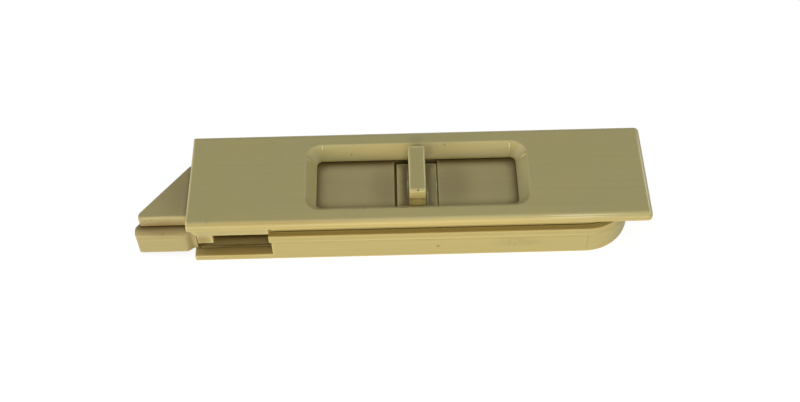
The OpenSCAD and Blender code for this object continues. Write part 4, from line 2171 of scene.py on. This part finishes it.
BOLT_FINISH = MouldedPlastic(
    "bolt_plastic", (0.440, 0.362, 0.166), (0.430, 0.362, 0.172),
    # Stronger and wider painted shade in inner corners, and a fainter painted highlight on outer edges.
    corner_shade_colour=(0.17, 0.12, 0.037), corner_shade=1.0, corner_shade_reach=3.2 * MM, corner_from=0.72, edge_highlight=0.2,
    marks=(
        ColourMark.at("guide block's front", (-67.0, -11.0, -10.5), (14.0, 2.4, 6.0), 0.6, (0.415, 0.352, 0.143)),
        # Painted shade on the nose's front over the groove.
        ColourMark.at("nose over the groove", (-66.0, -9.5, -4.8), (11.0, 3.0, 2.6), 0.6, DIRT_AND_SHADE, 0.3),
        ColourMark.at(
            "nose's top at the plate", (-61.0, 1.0, -2.2), (13.0, 12.0, 3.0), 0.4, (0.29, 0.22, 0.108), 0.2
        ),
        # Painted shade in the groove and on the heel.
        ColourMark.at("groove", (-67.0, -9.6, -6.2), (13.0, 3.2, 2.9), 0.75, DIRT_AND_SHADE, 0.1),
        ColourMark.at("heel", (-60.3, -10.6, -10.0), (1.7, 1.5, 5.5), 0.35, (0.30, 0.215, 0.085)),
        # Painted shadows of the pull's rib on the bolt's top, left and right of the pull.
        ColourMark.at(
            "top left of the pull", (-8.5, -0.5, -2.2), (6.0, 9.0, 2.0), 0.35, (0.28, 0.215, 0.098), 0.1
        ),
        ColourMark.at(
            "top right of the pull", (9.5, -0.5, -2.2), (7.0, 9.0, 2.0), 0.4, (0.28, 0.215, 0.098), 0.1
        ),
        ColourMark.at("dot on the guide block", (-67.5, -10.6, -7.2), (0.5, 0.6, 0.5), 0.35, DUST),
        ColourMark.at("dot on the nose", (-70.1, -8.85, -3.2), (0.35, 0.5, 0.35), 0.65, DUST),
        ColourMark.at("second dot on the nose", (-71.7, -8.85, -3.4), (0.35, 0.5, 0.35), 0.5, DUST),
        # Painted highlights: pale lines on the nose's near edge and the guide block's shoulder.
        ColourMark.at("nose's near edge", (-67.0, -8.4, -2.4), (9.0, 0.5, 0.45), 0.55, (0.62, 0.52, 0.25), 0.2),
        ColourMark.at("guide block's shoulder", (-67.5, -11.3, -8.8), (9.0, 0.5, 0.25), 0.35, (0.58, 0.49, 0.22)),
        # Painted shade on the runner's edge and at the back of the channel.
        ColourMark.at("runner's edge", (-47.0, -10.2, -14.1), (18.0, 0.8, 0.9), 0.95, (0.155, 0.104, 0.033)),
        ColourMark.at("back of the channel", (-47.0, -6.4, -13.7), (18.0, 1.9, 1.4), 0.75, (0.06, 0.036, 0.012)),
    ),
)
PULL_FINISH = MouldedPlastic(
    "pull_plastic", (0.465, 0.392, 0.165), (0.455, 0.392, 0.170),
    # Stronger and wider painted shade in inner corners, and a fainter painted highlight on outer edges.
    corner_shade_colour=(0.17, 0.12, 0.037), corner_shade=1.0, corner_shade_reach=3.2 * MM, corner_from=0.72, edge_highlight=0.35,
    marks=(
        # Painted light on the lower part of the rib's front.
        ColourMark.at("rib's front", (-0.2, -7.5, -0.1), (3.6, 0.9, 2.8), 0.8, (0.93, 0.75, 0.31)),
        # Painted highlights: pale lines along the rib's far, left and right edges.
        ColourMark.at("rib's far edge", (-0.2, 7.25, 4.85), (3.2, 0.6, 0.6), 0.95, PAINTED_GOLD_HIGHLIGHT),
        ColourMark.at("rib's left edge", (-2.25, 0.0, 4.85), (0.42, 12.0, 0.5), 0.9, PAINTED_GOLD_HIGHLIGHT),
        ColourMark.at("rib's right edge", (1.85, 0.0, 4.85), (0.42, 12.0, 0.5), 0.9, PAINTED_GOLD_HIGHLIGHT),
        ColourMark.at("dot on the rib", (-0.1, -7.16, 4.78), (0.42, 0.55, 0.5), 0.9, DUST),
        # Painted shadow of the rib on the base, and painted shade along the base's right edge.
        ColourMark.at("base right of the rib", (3.6, -1.0, -2.4), (1.8, 8.0, 0.6), 0.42, (0.22, 0.19, 0.09)),
        ColourMark.at("base's right edge", (4.6, -0.5, -2.4), (1.0, 9.0, 0.5), 0.6, (0.24, 0.205, 0.10)),
        # Painted shade at the rib's foot.
        ColourMark.at("rib's foot", (-0.2, -7.5, -2.3), (3.0, 0.7, 1.3), 0.7, (0.22, 0.13, 0.04)),
        # Painted highlights: pale streaks beside the rib and on the base's edge.
        ColourMark.at("highlight left of the rib", (-2.65, 0.2, -2.3), (0.3, 7.0, 0.5), 0.75, PAINTED_GREY_HIGHLIGHT, 0.6),
        ColourMark.at("highlight right of the rib", (2.5, -4.0, -2.3), (0.3, 4.5, 0.5), 0.8, PAINTED_GREY_HIGHLIGHT, 0.6),
        ColourMark.at("highlight on the base's edge", (5.15, -0.2, -2.4), (0.4, 2.4, 0.6), 0.85, PAINTED_GREY_HIGHLIGHT, 0.4),
    ),
)
WIRE_FINISH = SpringWire("spring_steel")
PHOTO_TARGET = Vector((-4.817, -8.542, 2.2)) * MM


def main() -> None:
    """Builds the camera, the pieces and the studio."""
    logging.basicConfig(level=logging.INFO, format="%(name)s: %(message)s")
    layout = Layout.from_frame()
    PhotoCamera(PHOTO_TARGET).place()
    for piece in (
        FacePlate(layout, PLATE_FINISH),
        BodyTray(layout, TRAY_FINISH),
        LatchBolt(layout, BOLT_FINISH),
        FingerPull(layout, PULL_FINISH),
        ReturnSpring(layout, WIRE_FINISH),
    ):
        piece.place()
    Studio(layout).build()
    bpy.context.scene.view_settings.view_transform = "Standard"


if __name__ == "__main__":
    main()
